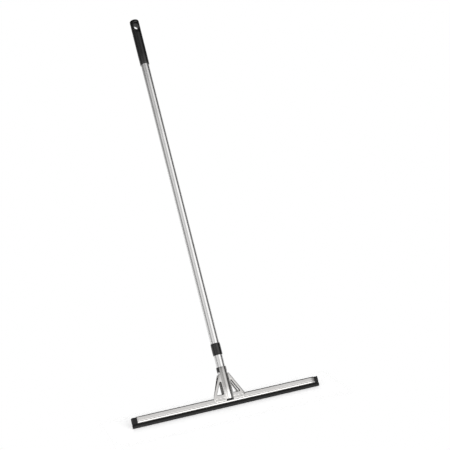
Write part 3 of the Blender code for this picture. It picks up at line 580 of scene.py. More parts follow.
shoulder_y = blade_high.y
neck_y = shoulder_y - NECK_INSET
inner_y = blade_low.y
under_lip = channel_low.z - LIP_CLEARANCE
over_lip = channel_low.z + SHEET + LIP_CLEARANCE
strip_outline = rounded(
    [
        (inner_y, blade_high.z),
        (inner_y, channel_low.z),
        (SLOT_HALF, channel_low.z - SLOT_HALF),
        (SLOT_HALF, blade_low.z),
        (shoulder_y - LIP_FOOT_INSET, blade_low.z),
        (shoulder_y + 0.2 * MM, under_lip * 0.52),
        (shoulder_y - LIP_TOP_INSET, under_lip),
        (neck_y, under_lip),
        (neck_y, over_lip),
        (shoulder_y, over_lip),
        (shoulder_y, blade_high.z),
    ],
    [0.3 * MM, 0.0, 0.4 * MM, 0.5 * MM, LIP_ROUND, 10.0 * MM, 0.8 * MM, 0.3 * MM, 0.2 * MM,
     0.4 * MM, 0.8 * MM],
    6,
)
for strip_name, side, seed in (("front", -1.0, 3.1), ("rear", 1.0, 7.7)):
    rings = []
    for step in range(121):
        x = blade_low.x + (blade_high.x - blade_low.x) * step / 120
        ring = []
        for y, z in strip_outline:
            loose = max(0.0, 1.0 - z / under_lip)
            wave = noise.noise(Vector((x * 38.0, seed, z * 20.0))) * RIPPLE * loose
            rise = abs(noise.noise(Vector((x * 22.0, seed + 9.0, 0.0)))) * RIPPLE * loose
            full = y > SLOT_HALF * 2.0
            inset = 0.4 * RIPPLE * loose
            ring.append((x, side * (y + (min(wave, 0.0) - inset if full else 0.0)), z + rise * 0.5))
        rings.append(ring)
    strip = lofted("%s_rubber_strip" % strip_name, rings)
    softened(strip, CUT_EDGE, 2, 60.0)
    smoothed(strip)
    dressed(strip, rubber)
    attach(strip, "blade")
    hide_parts("%s_blade" % strip_name)


# Moulded skin of nylon and polypropylene: a fine spark-eroded texture with faint flow marks.
MOULDED_SKIN, given, result = shader_group(
    "moulded_skin",
    [("Vector", VECTOR, None), ("Scale", FLOAT, 2200.0), ("Flow", VECTOR, (60.0, 60.0, 12.0))],
    [("Texture", FLOAT), ("Flow Marks", FLOAT)],
)
eroded = noise_of(MOULDED_SKIN, given.outputs["Vector"], given.outputs["Scale"], 3.0, 0.6)
MOULDED_SKIN.links.new(eroded, result.inputs["Texture"])
flowing = put(
    MOULDED_SKIN, "ShaderNodeVectorMath",
    {0: given.outputs["Vector"], 1: given.outputs["Flow"]}, operation="MULTIPLY",
).outputs[0]
MOULDED_SKIN.links.new(noise_of(MOULDED_SKIN, flowing, 1.0, 3.0), result.inputs["Flow Marks"])


def moulded(name, level, gloss_low, gloss_high, texture, dust_amount):
    """A moulded plastic with its colour level, roughness range, texture depth and dust."""
    material, tree, shader, place = new_material(name)
    skin = use_group(tree, MOULDED_SKIN, {"Vector": place})
    marks = use_group(tree, HANDLED, {"Vector": place, "Smudge Scale": 35.0, "Scratch Scale": 90.0})
    worn = use_group(tree, WORN_EDGE, {"Vector": place, "Radius": 0.0006, "Breakup": 260.0})
    dust = use_group(tree, SETTLED_DUST, {"Vector": place, "Scale": 160.0})
    colour = mixed(tree, skin.outputs["Flow Marks"], grey(level * 0.8), grey(level * 1.25, 0.02))
    colour = overlaid(tree, colour, worn.outputs["Mask"], 0.35, grey(level * 3.0 + 0.004))
    colour = overlaid(tree, colour, dust.outputs["Mask"], dust_amount, grey(0.12, 0.05))
    tree.links.new(colour, shader.inputs["Base Color"])
    rough = remap(tree, skin.outputs["Flow Marks"], 0.25, 0.75, gloss_low, gloss_high)
    rough = maths(tree, "ADD", rough, maths(tree, "MULTIPLY", marks.outputs["Smudge"], 0.06))
    tree.links.new(rough, shader.inputs["Roughness"])
    shader.inputs["Specular IOR Level"].default_value = 0.5
    under = bumped(tree, shader, skin.outputs["Texture"], texture, 0.00006)
    bumped(tree, shader, marks.outputs["Scratch"], -0.12, 0.00003, under)
    return material


nylon = moulded("moulded_nylon", 0.03, 0.42, 0.55, 0.3, 0.05)
spine_low, spine_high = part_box("blade_spine")
spine_outline = rounded(
    box_outline(spine_low.y, spine_low.z, spine_high.y, spine_high.z), SPINE_ROUND
)
spine = lofted(
    "spine_strip", [[(x, y, z) for y, z in spine_outline] for x in (spine_low.x, spine_high.x)]
)
smoothed(softened(spine, 0.15 * MM, 2, 60.0))
dressed(spine, nylon)
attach(spine, "blade")
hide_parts("blade_spine")

# ---------------------------------------------------------------- bracket
# Two pressings of galvanised sheet, front and rear, spot-welded to the channel. Each has a
# half-round gutter up its middle for the tube and a window in each wing; only the front
# one's windows are flanged.

GUTTER_FILLET = 1.6 * MM
TONGUE_HALF = 10.3 * MM
WING_TOP = 88.5 * MM
WING_SHOULDER = 3.9 * MM
KNEE_RISE = 12.5 * MM
SKIRT_CORNER = 5.5 * MM
WINDOW_RIM = 3.4 * MM
WINDOW_STRIP = 7.6 * MM
WINDOW_SILL_RISE = 6.8 * MM
WINDOW_ROUND = 1.6 * MM
WINDOW_FLANGE = 6.0 * MM
WINDOW_BEND = 2.0 * MM
FOOT_NOTCH = 4.0 * MM
WELD_RADIUS = 2.6 * MM
WELD_DEPTH = 0.14 * MM
WELD_SPACING = 12.0 * MM
SEAT_RADIUS = 5.4 * MM
SEAT_DROP = 0.8 * MM
RIVET_HOLE = 2.2 * MM
WELD_GAP = 0.3 * MM
PRESS_EDGE = 0.4 * MM
# Painted shade: between these depths behind the front pressing's outer face, its faces fade to near
# black for the shade inside it.
INNER_SHADE_FROM = 8.75 * MM
INNER_SHADE_TO = 8.3 * MM


def prism(name, outline, low, high):
    """Solid of an outline drawn in the XZ plane, from one Y to another."""
    return lofted(name, [[(x, y, z) for x, z in outline] for y in (low, high)])


def cut(target, cutter, operation="DIFFERENCE"):
    """Exact Boolean of two solids; the second one is used up."""
    boolean = target.modifiers.new("cut", "BOOLEAN")
    boolean.operation = operation
    boolean.solver = "EXACT"
    boolean.object = cutter
    applied(target)
    bpy.data.objects.remove(cutter)
    return target


def turned(name, profile, steps=96):
    """Solid of a closed profile of (radius, height) turned about the handle's axis."""
    work = bmesh.new()
    rings = []
    for radius, height in profile:
        if radius < MERGE:
            rings.append([work.verts.new((0.0, 0.0, height))] * steps)
            continue
        spokes = [math.tau * step / steps for step in range(steps)]
        rings.append(
            [work.verts.new((radius * math.cos(a), radius * math.sin(a), height)) for a in spokes]
        )
    for near, far in zip(rings, rings[1:] + rings[:1]):
        for index in range(steps):
            after = (index + 1) % steps
            corners = [near[index]]
            for corner in (near[after], far[after], far[index]):
                if corner not in corners:
                    corners.append(corner)
            if len(corners) > 2:
                work.faces.new(corners)
    return piece_from(name, work)


def drill(name, radius, reach, steps=32):
    """Plain round cutter about the handle's axis, as long each way as its reach."""
    return turned(name, [(0.0, reach), (radius, reach), (radius, -reach), (0.0, -reach)], steps)


def along_y(piece, x, y, z, facing=1.0):
    """Lays a turned piece down so that its axis points to the rear, or to the front."""
    turn = Matrix.Rotation(-math.pi / 2.0 * facing, 4, "X")
    piece.data.transform(Matrix.Translation((x, y, z)) @ turn)
    return piece


def copies_tree(name, inputs, made):
    """A tree for copies of a piece: its named sockets, its input node and its output node."""
    tree = bpy.data.node_groups.new(name, "GeometryNodeTree")
    sockets = {}
    for label, kind in inputs:
        sockets[label] = tree.interface.new_socket(label, in_out="INPUT", socket_type=kind)
    tree.interface.new_socket(made, in_out="OUTPUT", socket_type="NodeSocketGeometry")
    return tree, sockets, tree.nodes.new("NodeGroupInput"), tree.nodes.new("NodeGroupOutput")


def copy_to_points(tree, given, result, placing):
    """Sets real copies of the piece on points, gives them their finish and puts them out."""
    placing["Instance"] = given.outputs["Piece"]
    copies = put(tree, "GeometryNodeInstanceOnPoints", placing)
    real = put(tree, "GeometryNodeRealizeInstances", {0: copies.outputs[0]})
    finish = {"Geometry": real.outputs[0], "Material": given.outputs["Finish"]}
    tree.links.new(put(tree, "GeometryNodeSetMaterial", finish).outputs[0], result.inputs[0])


def copied(piece, tree, sockets, values):
    """The piece run through a tree of copies, as one plain mesh."""
    copies = piece.modifiers.new("copies", "NODES")
    copies.node_group = tree
    for label, value in values.items():
        copies[sockets[label].identifier] = value
    return applied(piece)


PIECE = ("Piece", "NodeSocketGeometry")
COUNT = ("Count", "NodeSocketInt")
FINISH = ("Finish", "NodeSocketMaterial")

# Copies of one piece in a row, each set on from the last by the same step.
ROW_OF_COPIES, row_sockets, given, result = copies_tree(
    "row_of_copies", (PIECE, COUNT, ("Step", VECTOR), FINISH), "Row"
)
row_line = put(
    ROW_OF_COPIES, "GeometryNodeMeshLine",
    {"Count": given.outputs["Count"], "Start Location": (0.0, 0.0, 0.0),
     "Offset": given.outputs["Step"]},
    mode="OFFSET",
)
copy_to_points(ROW_OF_COPIES, given, result, {"Points": row_line.outputs[0]})


def row_of(piece, count, step, material):
    """Turns a piece into a row of copies of it, as one plain mesh."""
    values = {"Count": count, "Step": step, "Finish": material}
    return copied(piece, ROW_OF_COPIES, row_sockets, values)


front_low, front_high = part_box("bracket_front")
rear_low, rear_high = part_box("bracket_rear")
gutter_outer = -front_low.y
gutter_middle = gutter_outer - SHEET / 2.0
plate_outer = channel_high.y + WELD_GAP + SHEET
plate_middle = plate_outer - SHEET / 2.0
gutter_edge = math.sqrt(gutter_outer**2 - plate_outer**2)
knee = front_low.z + KNEE_RISE
window_sill = channel_high.z + WINDOW_SILL_RISE


def gutter_sheet(name, side, low, high):
    """The pressed sheet before it is trimmed: flat wings with the gutter between them."""
    reach = gutter_middle + GUTTER_FILLET
    fillet_x = math.sqrt(reach**2 - (plate_middle + GUTTER_FILLET) ** 2)
    swing = math.atan2(fillet_x, plate_middle + GUTTER_FILLET)
    line = [(60.0 * MM, plate_middle)]
    for step in range(7):
        angle = swing * step / 6
        line.append((fillet_x - GUTTER_FILLET * math.sin(angle),
                     plate_middle + GUTTER_FILLET * (1.0 - math.cos(angle))))
    for step in range(1, 20):
        angle = swing * (1.0 - step / 20)
        line.append((gutter_middle * math.sin(angle), gutter_middle * math.cos(angle)))
    line.append((0.0, gutter_middle))
    line += [(-x, y) for x, y in reversed(line[:-1])]
    outline = sheet_section(line, SHEET)
    return lofted(name, [[(x, side * y, z) for x, y in outline] for z in (low, high)])


def bracket_trim(name, half_width, low, high):
    """The trimming die: skirt, wings and the tongue that follows the gutter to its top."""
    right = [
        (half_width - SKIRT_CORNER, low),
        (half_width, low + SKIRT_CORNER),
        (half_width, knee),
        (gutter_edge + WING_SHOULDER, WING_TOP),
        (TONGUE_HALF, WING_TOP),
        (TONGUE_HALF, high),
    ]
    bends = [3.0 * MM, 3.0 * MM, 4.0 * MM, 1.5 * MM, 1.2 * MM, 1.0 * MM]
    outline = rounded(right + [(-x, z) for x, z in reversed(right)], bends + bends[::-1], 6)
    return prism(name, outline, -gutter_outer - SHEET, gutter_outer + SHEET)


def window_outline(half_width, side, grow):
    """Rounded triangle of a window, moved outwards all round."""
    inner = gutter_edge + WINDOW_RIM - grow
    rise = (WING_TOP - knee) / (half_width - gutter_edge - WING_SHOULDER)
    edge = (WINDOW_STRIP - grow) * math.hypot(1.0, rise) / rise
    sill = window_sill - grow
    outer = half_width - (sill - knee) / rise - edge
    apex = knee + (half_width - edge - inner) * rise
    corners = [(inner, sill), (outer, sill), (inner, apex)]
    return [(side * x, z) for x, z in rounded(corners, WINDOW_ROUND + grow, 8)]


def weld_dimples(target, side, first_x, count):
    """Presses a row of spot-weld dimples into the skirt."""
    face = side * plate_outer
    reach = WELD_RADIUS * 2.0
    profile = [
        (0.0, reach),
        (WELD_RADIUS, reach),
        (WELD_RADIUS, 0.0),
        (WELD_RADIUS * 0.8, -WELD_DEPTH * 0.85),
        (WELD_RADIUS * 0.4, -WELD_DEPTH),
        (0.0, -WELD_DEPTH),
    ]
    height = front_low.z + (channel_high.z - front_low.z) * 0.5
    dimple = along_y(turned("weld_dimples", profile, 32), first_x, face, height, side)
    return cut(target, row_of(dimple, count, (WELD_SPACING, 0.0, 0.0), None))


# The bracket's finish paints shade onto the faces that lie inside the front pressing.
bracket_finish = galvanised(
    "galvanised_bracket", (2200.0, 2200.0, 70.0), (INNER_SHADE_FROM, INNER_SHADE_TO)
)
front = gutter_sheet("bracket_front_shell", -1.0, front_low.z, front_high.z)
for side in (-1.0, 1.0):
    rings = []
    for y in (-plate_middle, -plate_outer + WINDOW_FLANGE):
        rings.append([(x, y, z) for x, z in window_outline(front_high.x, side, SHEET)])
    cut(front, lofted("window_flange", rings), "UNION")
for side in (-1.0, 1.0):
    wide = window_outline(front_high.x, side, WINDOW_BEND)
    rings = [[(x, -plate_outer - SHEET, z) for x, z in wide]]
    for step in range(7):
        angle = math.pi / 2.0 * step / 6
        grow = WINDOW_BEND * (1.0 - math.sin(angle))
        y = -plate_outer + WINDOW_BEND * (1.0 - math.cos(angle)) - (0.0 if step else 0.02 * MM)
        rings.append([(x, y, z) for x, z in window_outline(front_high.x, side, grow)])
    past = -plate_outer + WINDOW_FLANGE + SHEET
    rings.append([(x, past, z) for x, z in window_outline(front_high.x, side, 0.0)])
    cut(front, lofted("window_opening", rings))
notch_half = gutter_edge - 0.4 * MM
notch = box_outline(-notch_half, front_low.z - SHEET, notch_half, front_low.z + FOOT_NOTCH)
cut(front, prism("foot_notch", notch, -gutter_outer - SHEET, -plate_outer + 2.0 * SHEET))
cut(front, bracket_trim("front_trim", front_high.x, front_low.z, front_high.z), "INTERSECT")
for first_x in (-38.0 * MM, 14.0 * MM):
    weld_dimples(front, -1.0, first_x, 3)
smoothed(softened(front, PRESS_EDGE, 2, 50.0))
dressed(front, bracket_finish)
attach(front, "head")
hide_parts("bracket_front")

rivet_low, rivet_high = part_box("tube_rivet_lower")
upper_low, upper_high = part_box("tube_rivet_upper")
rivet_z = (rivet_low.z + rivet_high.z) / 2.0
rivet_pitch = (upper_low.z + upper_high.z) / 2.0 - rivet_z
seat_y = gutter_outer - SEAT_DROP
rear = gutter_sheet("bracket_rear_shell", 1.0, rear_low.z, rear_high.z)
cut(rear, bracket_trim("rear_trim", rear_high.x, rear_low.z, rear_high.z), "INTERSECT")
for side in (-1.0, 1.0):
    opening = window_outline(rear_high.x, side, 0.0)
    cut(rear, prism("rear_window", opening, plate_outer - 2.0 * SHEET, plate_outer + SHEET))
pitch = (0.0, 0.0, rivet_pitch)
seat = [(0.0, 0.3 * MM), (SEAT_RADIUS, 0.3 * MM), (SEAT_RADIUS, -SEAT_DROP), (0.0, -SEAT_DROP)]
seats = along_y(turned("seats", seat, 40), 0.0, seat_y, rivet_z)
cut(rear, row_of(seats, 2, pitch, None), "UNION")
recess = [(0.0, 4.0 * MM), (SEAT_RADIUS, 4.0 * MM), (SEAT_RADIUS - SHEET * 0.7, 0.5 * MM),
          (SEAT_RADIUS - SHEET, 0.0), (0.0, 0.0)]
recesses = along_y(turned("recesses", recess, 48), 0.0, seat_y, rivet_z)
cut(rear, row_of(recesses, 2, pitch, None))
for first_x in (-32.0 * MM, 20.0 * MM):
    weld_dimples(rear, 1.0, first_x, 2)
holes = along_y(drill("holes", RIVET_HOLE, 3.0 * MM), 0.0, seat_y, rivet_z)
cut(rear, row_of(holes, 2, pitch, None))
smoothed(softened(rear, PRESS_EDGE, 2, 50.0))
dressed(rear, bracket_finish)
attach(rear, "head")
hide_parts("bracket_rear")

# ---------------------------------------------------------------- tube rivets
# Two zinc-plated steel blind rivets hold the stub tube to the rear pressing. Each has a flat
# dome with the broken mandrel in its middle, and a formed tail inside the tube.

zinc, tree, shader, place = new_material("zinc_plate")
grain = use_group(tree, DRAWN_GRAIN, {"Vector": place, "Stretch": (900.0, 900.0, 900.0)})
worn = use_group(tree, WORN_EDGE, {"Vector": place, "Radius": 0.0003, "Breakup": 500.0})
plate = mixed(tree, grain.outputs["Broad"], grey(0.52, 0.03), grey(0.64, 0.01))
plate = overlaid(tree, plate, worn.outputs["Mask"], 0.5, grey(0.75))
tree.links.new(plate, shader.inputs["Base Color"])
shader.inputs["Metallic"].default_value = 1.0
tree.links.new(remap(tree, grain.outputs["Fine"], 0.2, 0.8, 0.22, 0.4), shader.inputs["Roughness"])
bumped(tree, shader, grain.outputs["Fine"], 0.2, 0.00004)

head_y = gutter_outer - 0.6 * MM
dome = 0.8 * MM
tail_y = rivet_low.y - head_y
rivet_profile = [
    (0.0, dome * 0.55),
    (0.9 * MM, dome * 0.55),
    (1.0 * MM, dome * 0.95),
    (1.4 * MM, dome),
    (2.2 * MM, dome * 0.92),
    (3.0 * MM, dome * 0.62),
    (3.35 * MM, dome * 0.25),
    (3.4 * MM, 0.0),
    (2.0 * MM, 0.0),
    (2.0 * MM, tail_y * 0.45),
    (2.7 * MM, tail_y * 0.55),
    (3.0 * MM, tail_y * 0.72),
    (2.6 * MM, tail_y * 0.9),
    (1.2 * MM, tail_y * 0.97),
    (0.0, tail_y),
]
rivets = along_y(turned("tube_rivets", rivet_profile, 40), 0.0, head_y, rivet_z)
row_of(rivets, 2, (0.0, 0.0, rivet_pitch), zinc)
smoothed(rivets)
dressed(rivets, zinc)
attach(rivets, "head")
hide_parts("tube_rivet_lower", "tube_rivet_upper")

# ---------------------------------------------------------------- stub tube
# Short length of drawn aluminium tube that stands in the bracket on a moulded foot plug.
# A thin black bush fills the top of the gutters and keys into the gap at each side.

TUBE_WALL = 1.2 * MM
TUBE_EDGE = 0.25 * MM
PRESS_FIT = 0.12 * MM
DRILL_SLACK = 0.2 * MM
KEY_HALF_ANGLE = 38.0
PLUG_RIBS = 8

aluminium, tree, shader, place = new_material("drawn_aluminium")
grain = use_group(tree, DRAWN_GRAIN, {"Vector": place, "Stretch": (1500.0, 1500.0, 9.0)})
marks = use_group(tree, HANDLED, {"Vector": place, "Smudge Scale": 18.0, "Scratch Scale": 38.0})
worn = use_group(tree, WORN_EDGE, {"Vector": place, "Radius": 0.0004, "Breakup": 300.0})
metal = mixed(tree, grain.outputs["Broad"], grey(0.62, 0.008), grey(0.7, 0.004))
metal = overlaid(tree, metal, marks.outputs["Smudge"], 0.22, grey(0.57, 0.012))
metal = overlaid(tree, metal, marks.outputs["Scratch"], 0.4, grey(0.5))
metal = overlaid(tree, metal, worn.outputs["Mask"], 0.5, grey(0.8))
tree.links.new(metal, shader.inputs["Base Color"])
shader.inputs["Metallic"].default_value = 1.0
rough = remap(tree, grain.outputs["Fine"], 0.25, 0.75, 0.17, 0.27)
rough = maths(tree, "ADD", rough, maths(tree, "MULTIPLY", marks.outputs["Smudge"], 0.05))
tree.links.new(rough, shader.inputs["Roughness"])
under = bumped(tree, shader, grain.outputs["Fine"], 0.12, 0.00003)
bumped(tree, shader, marks.outputs["Scratch"], -0.2, 0.00003, under)


def tube_solid(name, low, high, outer):
    """An open tube with deburred ends, divided along its length."""
    bore = outer - TUBE_WALL
    count = max(2, int((high - low) / 0.02))
    heights = [low + TUBE_EDGE + (high - low - 2.0 * TUBE_EDGE) * step / count
               for step in range(count + 1)]
    profile = [(outer - TUBE_EDGE, low)] + [(outer, height) for height in heights]
    profile += [(outer - TUBE_EDGE, high), (bore + TUBE_EDGE / 2.0, high)]
    profile += [(bore, height) for height in reversed(heights)]
    profile.append((bore + TUBE_EDGE / 2.0, low))
    return turned(name, profile)


def cross_drilled(target, radius, height, reach):
    """Drills a round hole through a piece along X."""
    cutter = drill("drill", radius, reach)
    turn = Matrix.Rotation(math.pi / 2.0, 4, "Y")
    cutter.data.transform(Matrix.Translation((0.0, 0.0, height)) @ turn)
    return cut(target, cutter)


stub_low, stub_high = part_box("stub_tube")
pin_low, pin_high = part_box("spigot_pin")
pin_z = (pin_low.z + pin_high.z) / 2.0
pin_radius = (pin_high.z - pin_low.z) / 2.0
tube_radius = stub_high.x
bore_radius = tube_radius - TUBE_WALL
stub = tube_solid("stub_tube_drawn", stub_low.z, stub_high.z, tube_radius)
cross_drilled(stub, pin_radius + DRILL_SLACK, pin_z, tube_radius * 2.0)
for height in (rivet_z, rivet_z + rivet_pitch):
    hole = drill("hole", RIVET_HOLE, 9.0 * MM)
    cut(stub, along_y(hole, 0.0, tube_radius + 3.0 * MM, height))
smoothed(stub)
dressed(stub, aluminium)
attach(stub, "head")
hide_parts("stub_tube")

black_plastic = moulded("black_polypropylene", 0.003, 0.15, 0.22, 0.1, 0.01)
bush_low, bush_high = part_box("socket_bush")
ring_outer = gutter_outer - SHEET - PRESS_FIT
key_outline = []
for step in range(120):
    degrees = 3.0 * step
    off_side = min(abs(degrees % 180.0), 180.0 - abs(degrees % 180.0))
    keyed = off_side <= KEY_HALF_ANGLE
    radius = gutter_outer if keyed else ring_outer
    angle = math.radians(degrees)
    key_outline.append((radius * math.cos(angle), radius * math.sin(angle)))
levels = (bush_low.z, (bush_low.z + bush_high.z) / 2.0, bush_high.z)
bush = lofted("socket_bush_moulded", risen(key_outline, levels))
inner = tube_radius + PRESS_FIT
past = 1.0 * MM
bore = [(0.0, bush_high.z + past), (inner, bush_high.z + past), (inner, bush_low.z - past),
        (0.0, bush_low.z - past)]
cut(bush, turned("bush_bore", bore))
smoothed(softened(bush, 0.2 * MM, 2, 50.0))
dressed(bush, black_plastic)
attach(bush, "head")
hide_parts("socket_bush")

# Copies of one piece set in a ring about the handle's axis.
RING_OF_COPIES, ring_sockets, given, result = copies_tree(
    "ring_of_copies", (PIECE, COUNT, FINISH), "Ring"
)
ring_points = put(
    RING_OF_COPIES, "GeometryNodeMeshLine",
    {"Count": given.outputs["Count"], "Offset": (0.0, 0.0, 0.0)}, mode="OFFSET",
)
ring_share = maths(
    RING_OF_COPIES, "DIVIDE", put(RING_OF_COPIES, "GeometryNodeInputIndex").outputs[0],
    given.outputs["Count"],
)
ring_angle = maths(RING_OF_COPIES, "MULTIPLY", ring_share, math.tau)
ring_turn = put(RING_OF_COPIES, "ShaderNodeCombineXYZ", {2: ring_angle}).outputs[0]
copy_to_points(
    RING_OF_COPIES, given, result, {"Points": ring_points.outputs[0], "Rotation": ring_turn}
)


def ring_of(piece, count, material):
    """Turns a piece into a ring of copies of it about the axis, as one plain mesh."""
    values = {"Count": count, "Finish": material}
    return copied(piece, RING_OF_COPIES, ring_sockets, values)


plug_low, plug_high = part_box("foot_plug")
plug_body = bore_radius - PRESS_FIT
plug_inner = plug_body - 2.6 * MM
flange_top = plug_low.z + 1.6 * MM
plug = turned(
    "foot_plug_moulded",
    [
        (plug_body - 0.6 * MM, plug_high.z),
        (plug_body, plug_high.z - 1.2 * MM),
        (plug_body, flange_top + 0.4 * MM),
        (plug_body - 0.2 * MM, flange_top),
        (tube_radius - 0.3 * MM, flange_top),
        (tube_radius, flange_top - 0.3 * MM),
        (tube_radius, plug_low.z + 0.3 * MM),
        (tube_radius - 0.3 * MM, plug_low.z),
        (plug_inner, plug_low.z),
        (plug_inner, plug_high.z),
    ],
)
rib_outline = [(plug_inner - 1.2 * MM, -0.5 * MM), (plug_inner + 0.6 * MM, -0.6 * MM),
               (plug_inner + 0.6 * MM, 0.6 * MM), (plug_inner - 1.2 * MM, 0.5 * MM)]
rib_levels = (flange_top, plug_high.z - 0.5 * MM)
rib = lofted("plug_ribs", risen(rib_outline, rib_levels))
cut(plug, ring_of(rib, PLUG_RIBS, nylon), "UNION")
smoothed(softened(plug, 0.12 * MM, 1, 50.0))
dressed(plug, nylon)
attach(plug, "head")
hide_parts("foot_plug")

# ---------------------------------------------------------------- coupling
# Moulded nylon spigot pinned in the stub tube. Its keyed nose slides in the handle's bush and
# a split clamp ring, and the black twist collar over both tube ends squeezes the ring shut.

BUSH_WALL = 1.43 * MM
SLIDE_GAP = 0.25 * MM
SPIGOT_WALL = 3.0 * MM
SLIT_HALF = 1.5 * MM
FLAT_DEPTH = 1.0 * MM
NOSE_CHAMFER = 1.0 * MM
RING_GROOVES = 9
RING_GROOVE_STEP = 6.0 * MM
COLLAR_GROOVE_INSET = 2.0 * MM
COLLAR_GROOVE_DEPTH = 0.6 * MM
COLLAR_GROOVE_HALF = 0.8 * MM
COLLAR_ROUND = 0.7 * MM

spigot_low, spigot_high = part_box("coupling_spigot")
handle_bush_low, handle_bush_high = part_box("handle_bush")
clamp_low, clamp_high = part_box("clamp_ring")
shoulder = clamp_low.z - 0.2 * MM
nose_radius = bore_radius - PRESS_FIT - BUSH_WALL - SLIDE_GAP
flat_half = nose_radius - FLAT_DEPTH
root_radius = bore_radius - PRESS_FIT
hollow_radius = nose_radius - SPIGOT_WALL
spigot = turned(
    "spigot_moulded",
    [
        (nose_radius - NOSE_CHAMFER, spigot_high.z),
        (nose_radius, spigot_high.z - NOSE_CHAMFER * 1.5),
        (nose_radius, shoulder + 0.4 * MM),
        (nose_radius + 0.4 * MM, shoulder),
        (tube_radius - 0.25 * MM, shoulder),
        (tube_radius, shoulder - 0.25 * MM),
        (tube_radius, stub_high.z + 0.4 * MM),
        (tube_radius - 0.2 * MM, stub_high.z + 0.2 * MM),
        (root_radius, stub_high.z + 0.2 * MM),
        (root_radius, spigot_low.z + 1.0 * MM),
        (root_radius - 0.5 * MM, spigot_low.z),
        (hollow_radius, spigot_low.z),
        (hollow_radius, spigot_high.z),
    ],
)
for side in (-1.0, 1.0):
    near, far = sorted((side * flat_half, side * nose_radius * 2.0))
    corners = box_outline(-nose_radius, shoulder, nose_radius, spigot_high.z + MM)
    cut(spigot, prism("flat", corners, near, far))
cross_drilled(spigot, pin_radius + DRILL_SLACK, pin_z, tube_radius * 2.0)
groove_z = shoulder + 12.0 * MM
groove = turned(
    "grip_grooves",
    [
        (nose_radius + MM, groove_z + 0.9 * MM),
        (nose_radius + MM, groove_z - 0.9 * MM),
        (nose_radius - 0.35 * MM, groove_z - 0.4 * MM),
        (nose_radius - 0.35 * MM, groove_z + 0.4 * MM),
    ],
)
cut(spigot, row_of(groove, RING_GROOVES, (0.0, 0.0, RING_GROOVE_STEP), nylon))
smoothed(softened(spigot, 0.12 * MM, 1, 50.0))
dressed(spigot, nylon)
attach(spigot, "head")
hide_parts("coupling_spigot")


def cross_pin(name, radius, start, end, height):
    """A chamfered pin along X between two points."""
    chamfer = radius * 0.2
    half = abs(end - start) / 2.0
    pin = turned(
        name,
        [(0.0, half), (radius - chamfer, half), (radius, half - chamfer),
         (radius, -half + chamfer), (radius - chamfer, -half), (0.0, -half)],
        40,
    )
    turn = Matrix.Rotation(math.pi / 2.0, 4, "Y")
    pin.data.transform(Matrix.Translation(((start + end) / 2.0, 0.0, height)) @ turn)
    return smoothed(pin)


pin = cross_pin("spigot_cross_pin", pin_radius, pin_low.x, pin_high.x, pin_z)
dressed(pin, zinc)
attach(pin, "head")
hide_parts("spigot_pin")

clamp_middle = (clamp_low.z + clamp_high.z) / 2.0
clamp = turned(
    "clamp_ring_moulded",
    [
        (tube_radius - 0.3 * MM, clamp_high.z),
        (tube_radius, clamp_high.z - 0.3 * MM),
        (tube_radius, clamp_middle + 1.3 * MM),
        (tube_radius - 1.1 * MM, clamp_middle + 1.2 * MM),
        (tube_radius - 1.1 * MM, clamp_middle - 1.2 * MM),
        (tube_radius, clamp_middle - 1.3 * MM),
        (tube_radius, clamp_low.z + 0.3 * MM),
        (tube_radius - 0.3 * MM, clamp_low.z),
        (nose_radius + SLIDE_GAP, clamp_low.z),
        (nose_radius + SLIDE_GAP, clamp_high.z),
    ],
)
slit = box_outline(-SLIT_HALF, clamp_low.z - MM, SLIT_HALF, clamp_high.z + MM)
cut(clamp, prism("slit", slit, 0.0, 2.0 * tube_radius))
smoothed(clamp)
dressed(clamp, nylon)
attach(clamp, "handle")
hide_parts("clamp_ring")

handle_low, handle_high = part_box("handle_tube")
stud_low, stud_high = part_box("bush_stud_right")
stud_z = (stud_low.z + stud_high.z) / 2.0
stud_radius = (stud_high.z - stud_low.z) / 2.0
guide = turned(
    "handle_bush_moulded",
    [
        (0.0, handle_bush_high.z),
        (root_radius - 0.5 * MM, handle_bush_high.z),
        (root_radius, handle_bush_high.z - 1.0 * MM),
        (root_radius, handle_low.z - 0.2 * MM),
        (tube_radius - 0.25 * MM, handle_low.z - 0.2 * MM),
        (tube_radius, handle_low.z - 0.45 * MM),
        (tube_radius, handle_bush_low.z + 0.25 * MM),
        (tube_radius - 0.25 * MM, handle_bush_low.z),
        (0.0, handle_bush_low.z),
    ],
)
limit = math.asin((flat_half + SLIDE_GAP) / (nose_radius + SLIDE_GAP))
keyway = []
for middle in (0.0, math.pi):
    for step in range(25):
        angle = middle - limit + 2.0 * limit * step / 24
        keyway.append(((nose_radius + SLIDE_GAP) * math.cos(angle),
                       (nose_radius + SLIDE_GAP) * math.sin(angle)))
keyway_levels = (handle_bush_low.z - MM, handle_bush_high.z + MM)
cut(guide, lofted("keyway", risen(keyway, keyway_levels)))
cross_drilled(guide, stud_radius + DRILL_SLACK, stud_z, tube_radius * 2.0)
smoothed(softened(guide, 0.12 * MM, 1, 50.0))
dressed(guide, nylon)
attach(guide, "handle")
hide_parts("handle_bush")

studs = cross_pin("bush_studs", stud_radius, -stud_high.x, -stud_low.x, stud_z)
row_of(studs, 2, (stud_low.x + stud_high.x, 0.0, 0.0), zinc)
smoothed(studs)
dressed(studs, zinc)
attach(studs, "handle")
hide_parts("bush_stud_left", "bush_stud_right")

collar_low, collar_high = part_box("coupling_collar")
collar_radius = collar_high.x
collar_bore = tube_radius + 0.3 * MM
rib_depth = 0.9 * MM
rib_half = 1.1 * MM


def groove_at(radius, height, upwards):
    """Profile points of a shallow round-bottomed groove, from one side to the other."""
    points = []
    for step in range(7):
        share = step / 6
        depth = COLLAR_GROOVE_DEPTH * math.sin(math.pi * share)
        offset = COLLAR_GROOVE_HALF * (2.0 * share - 1.0)
        points.append((radius - depth, height + (offset if upwards else -offset)))
    return points


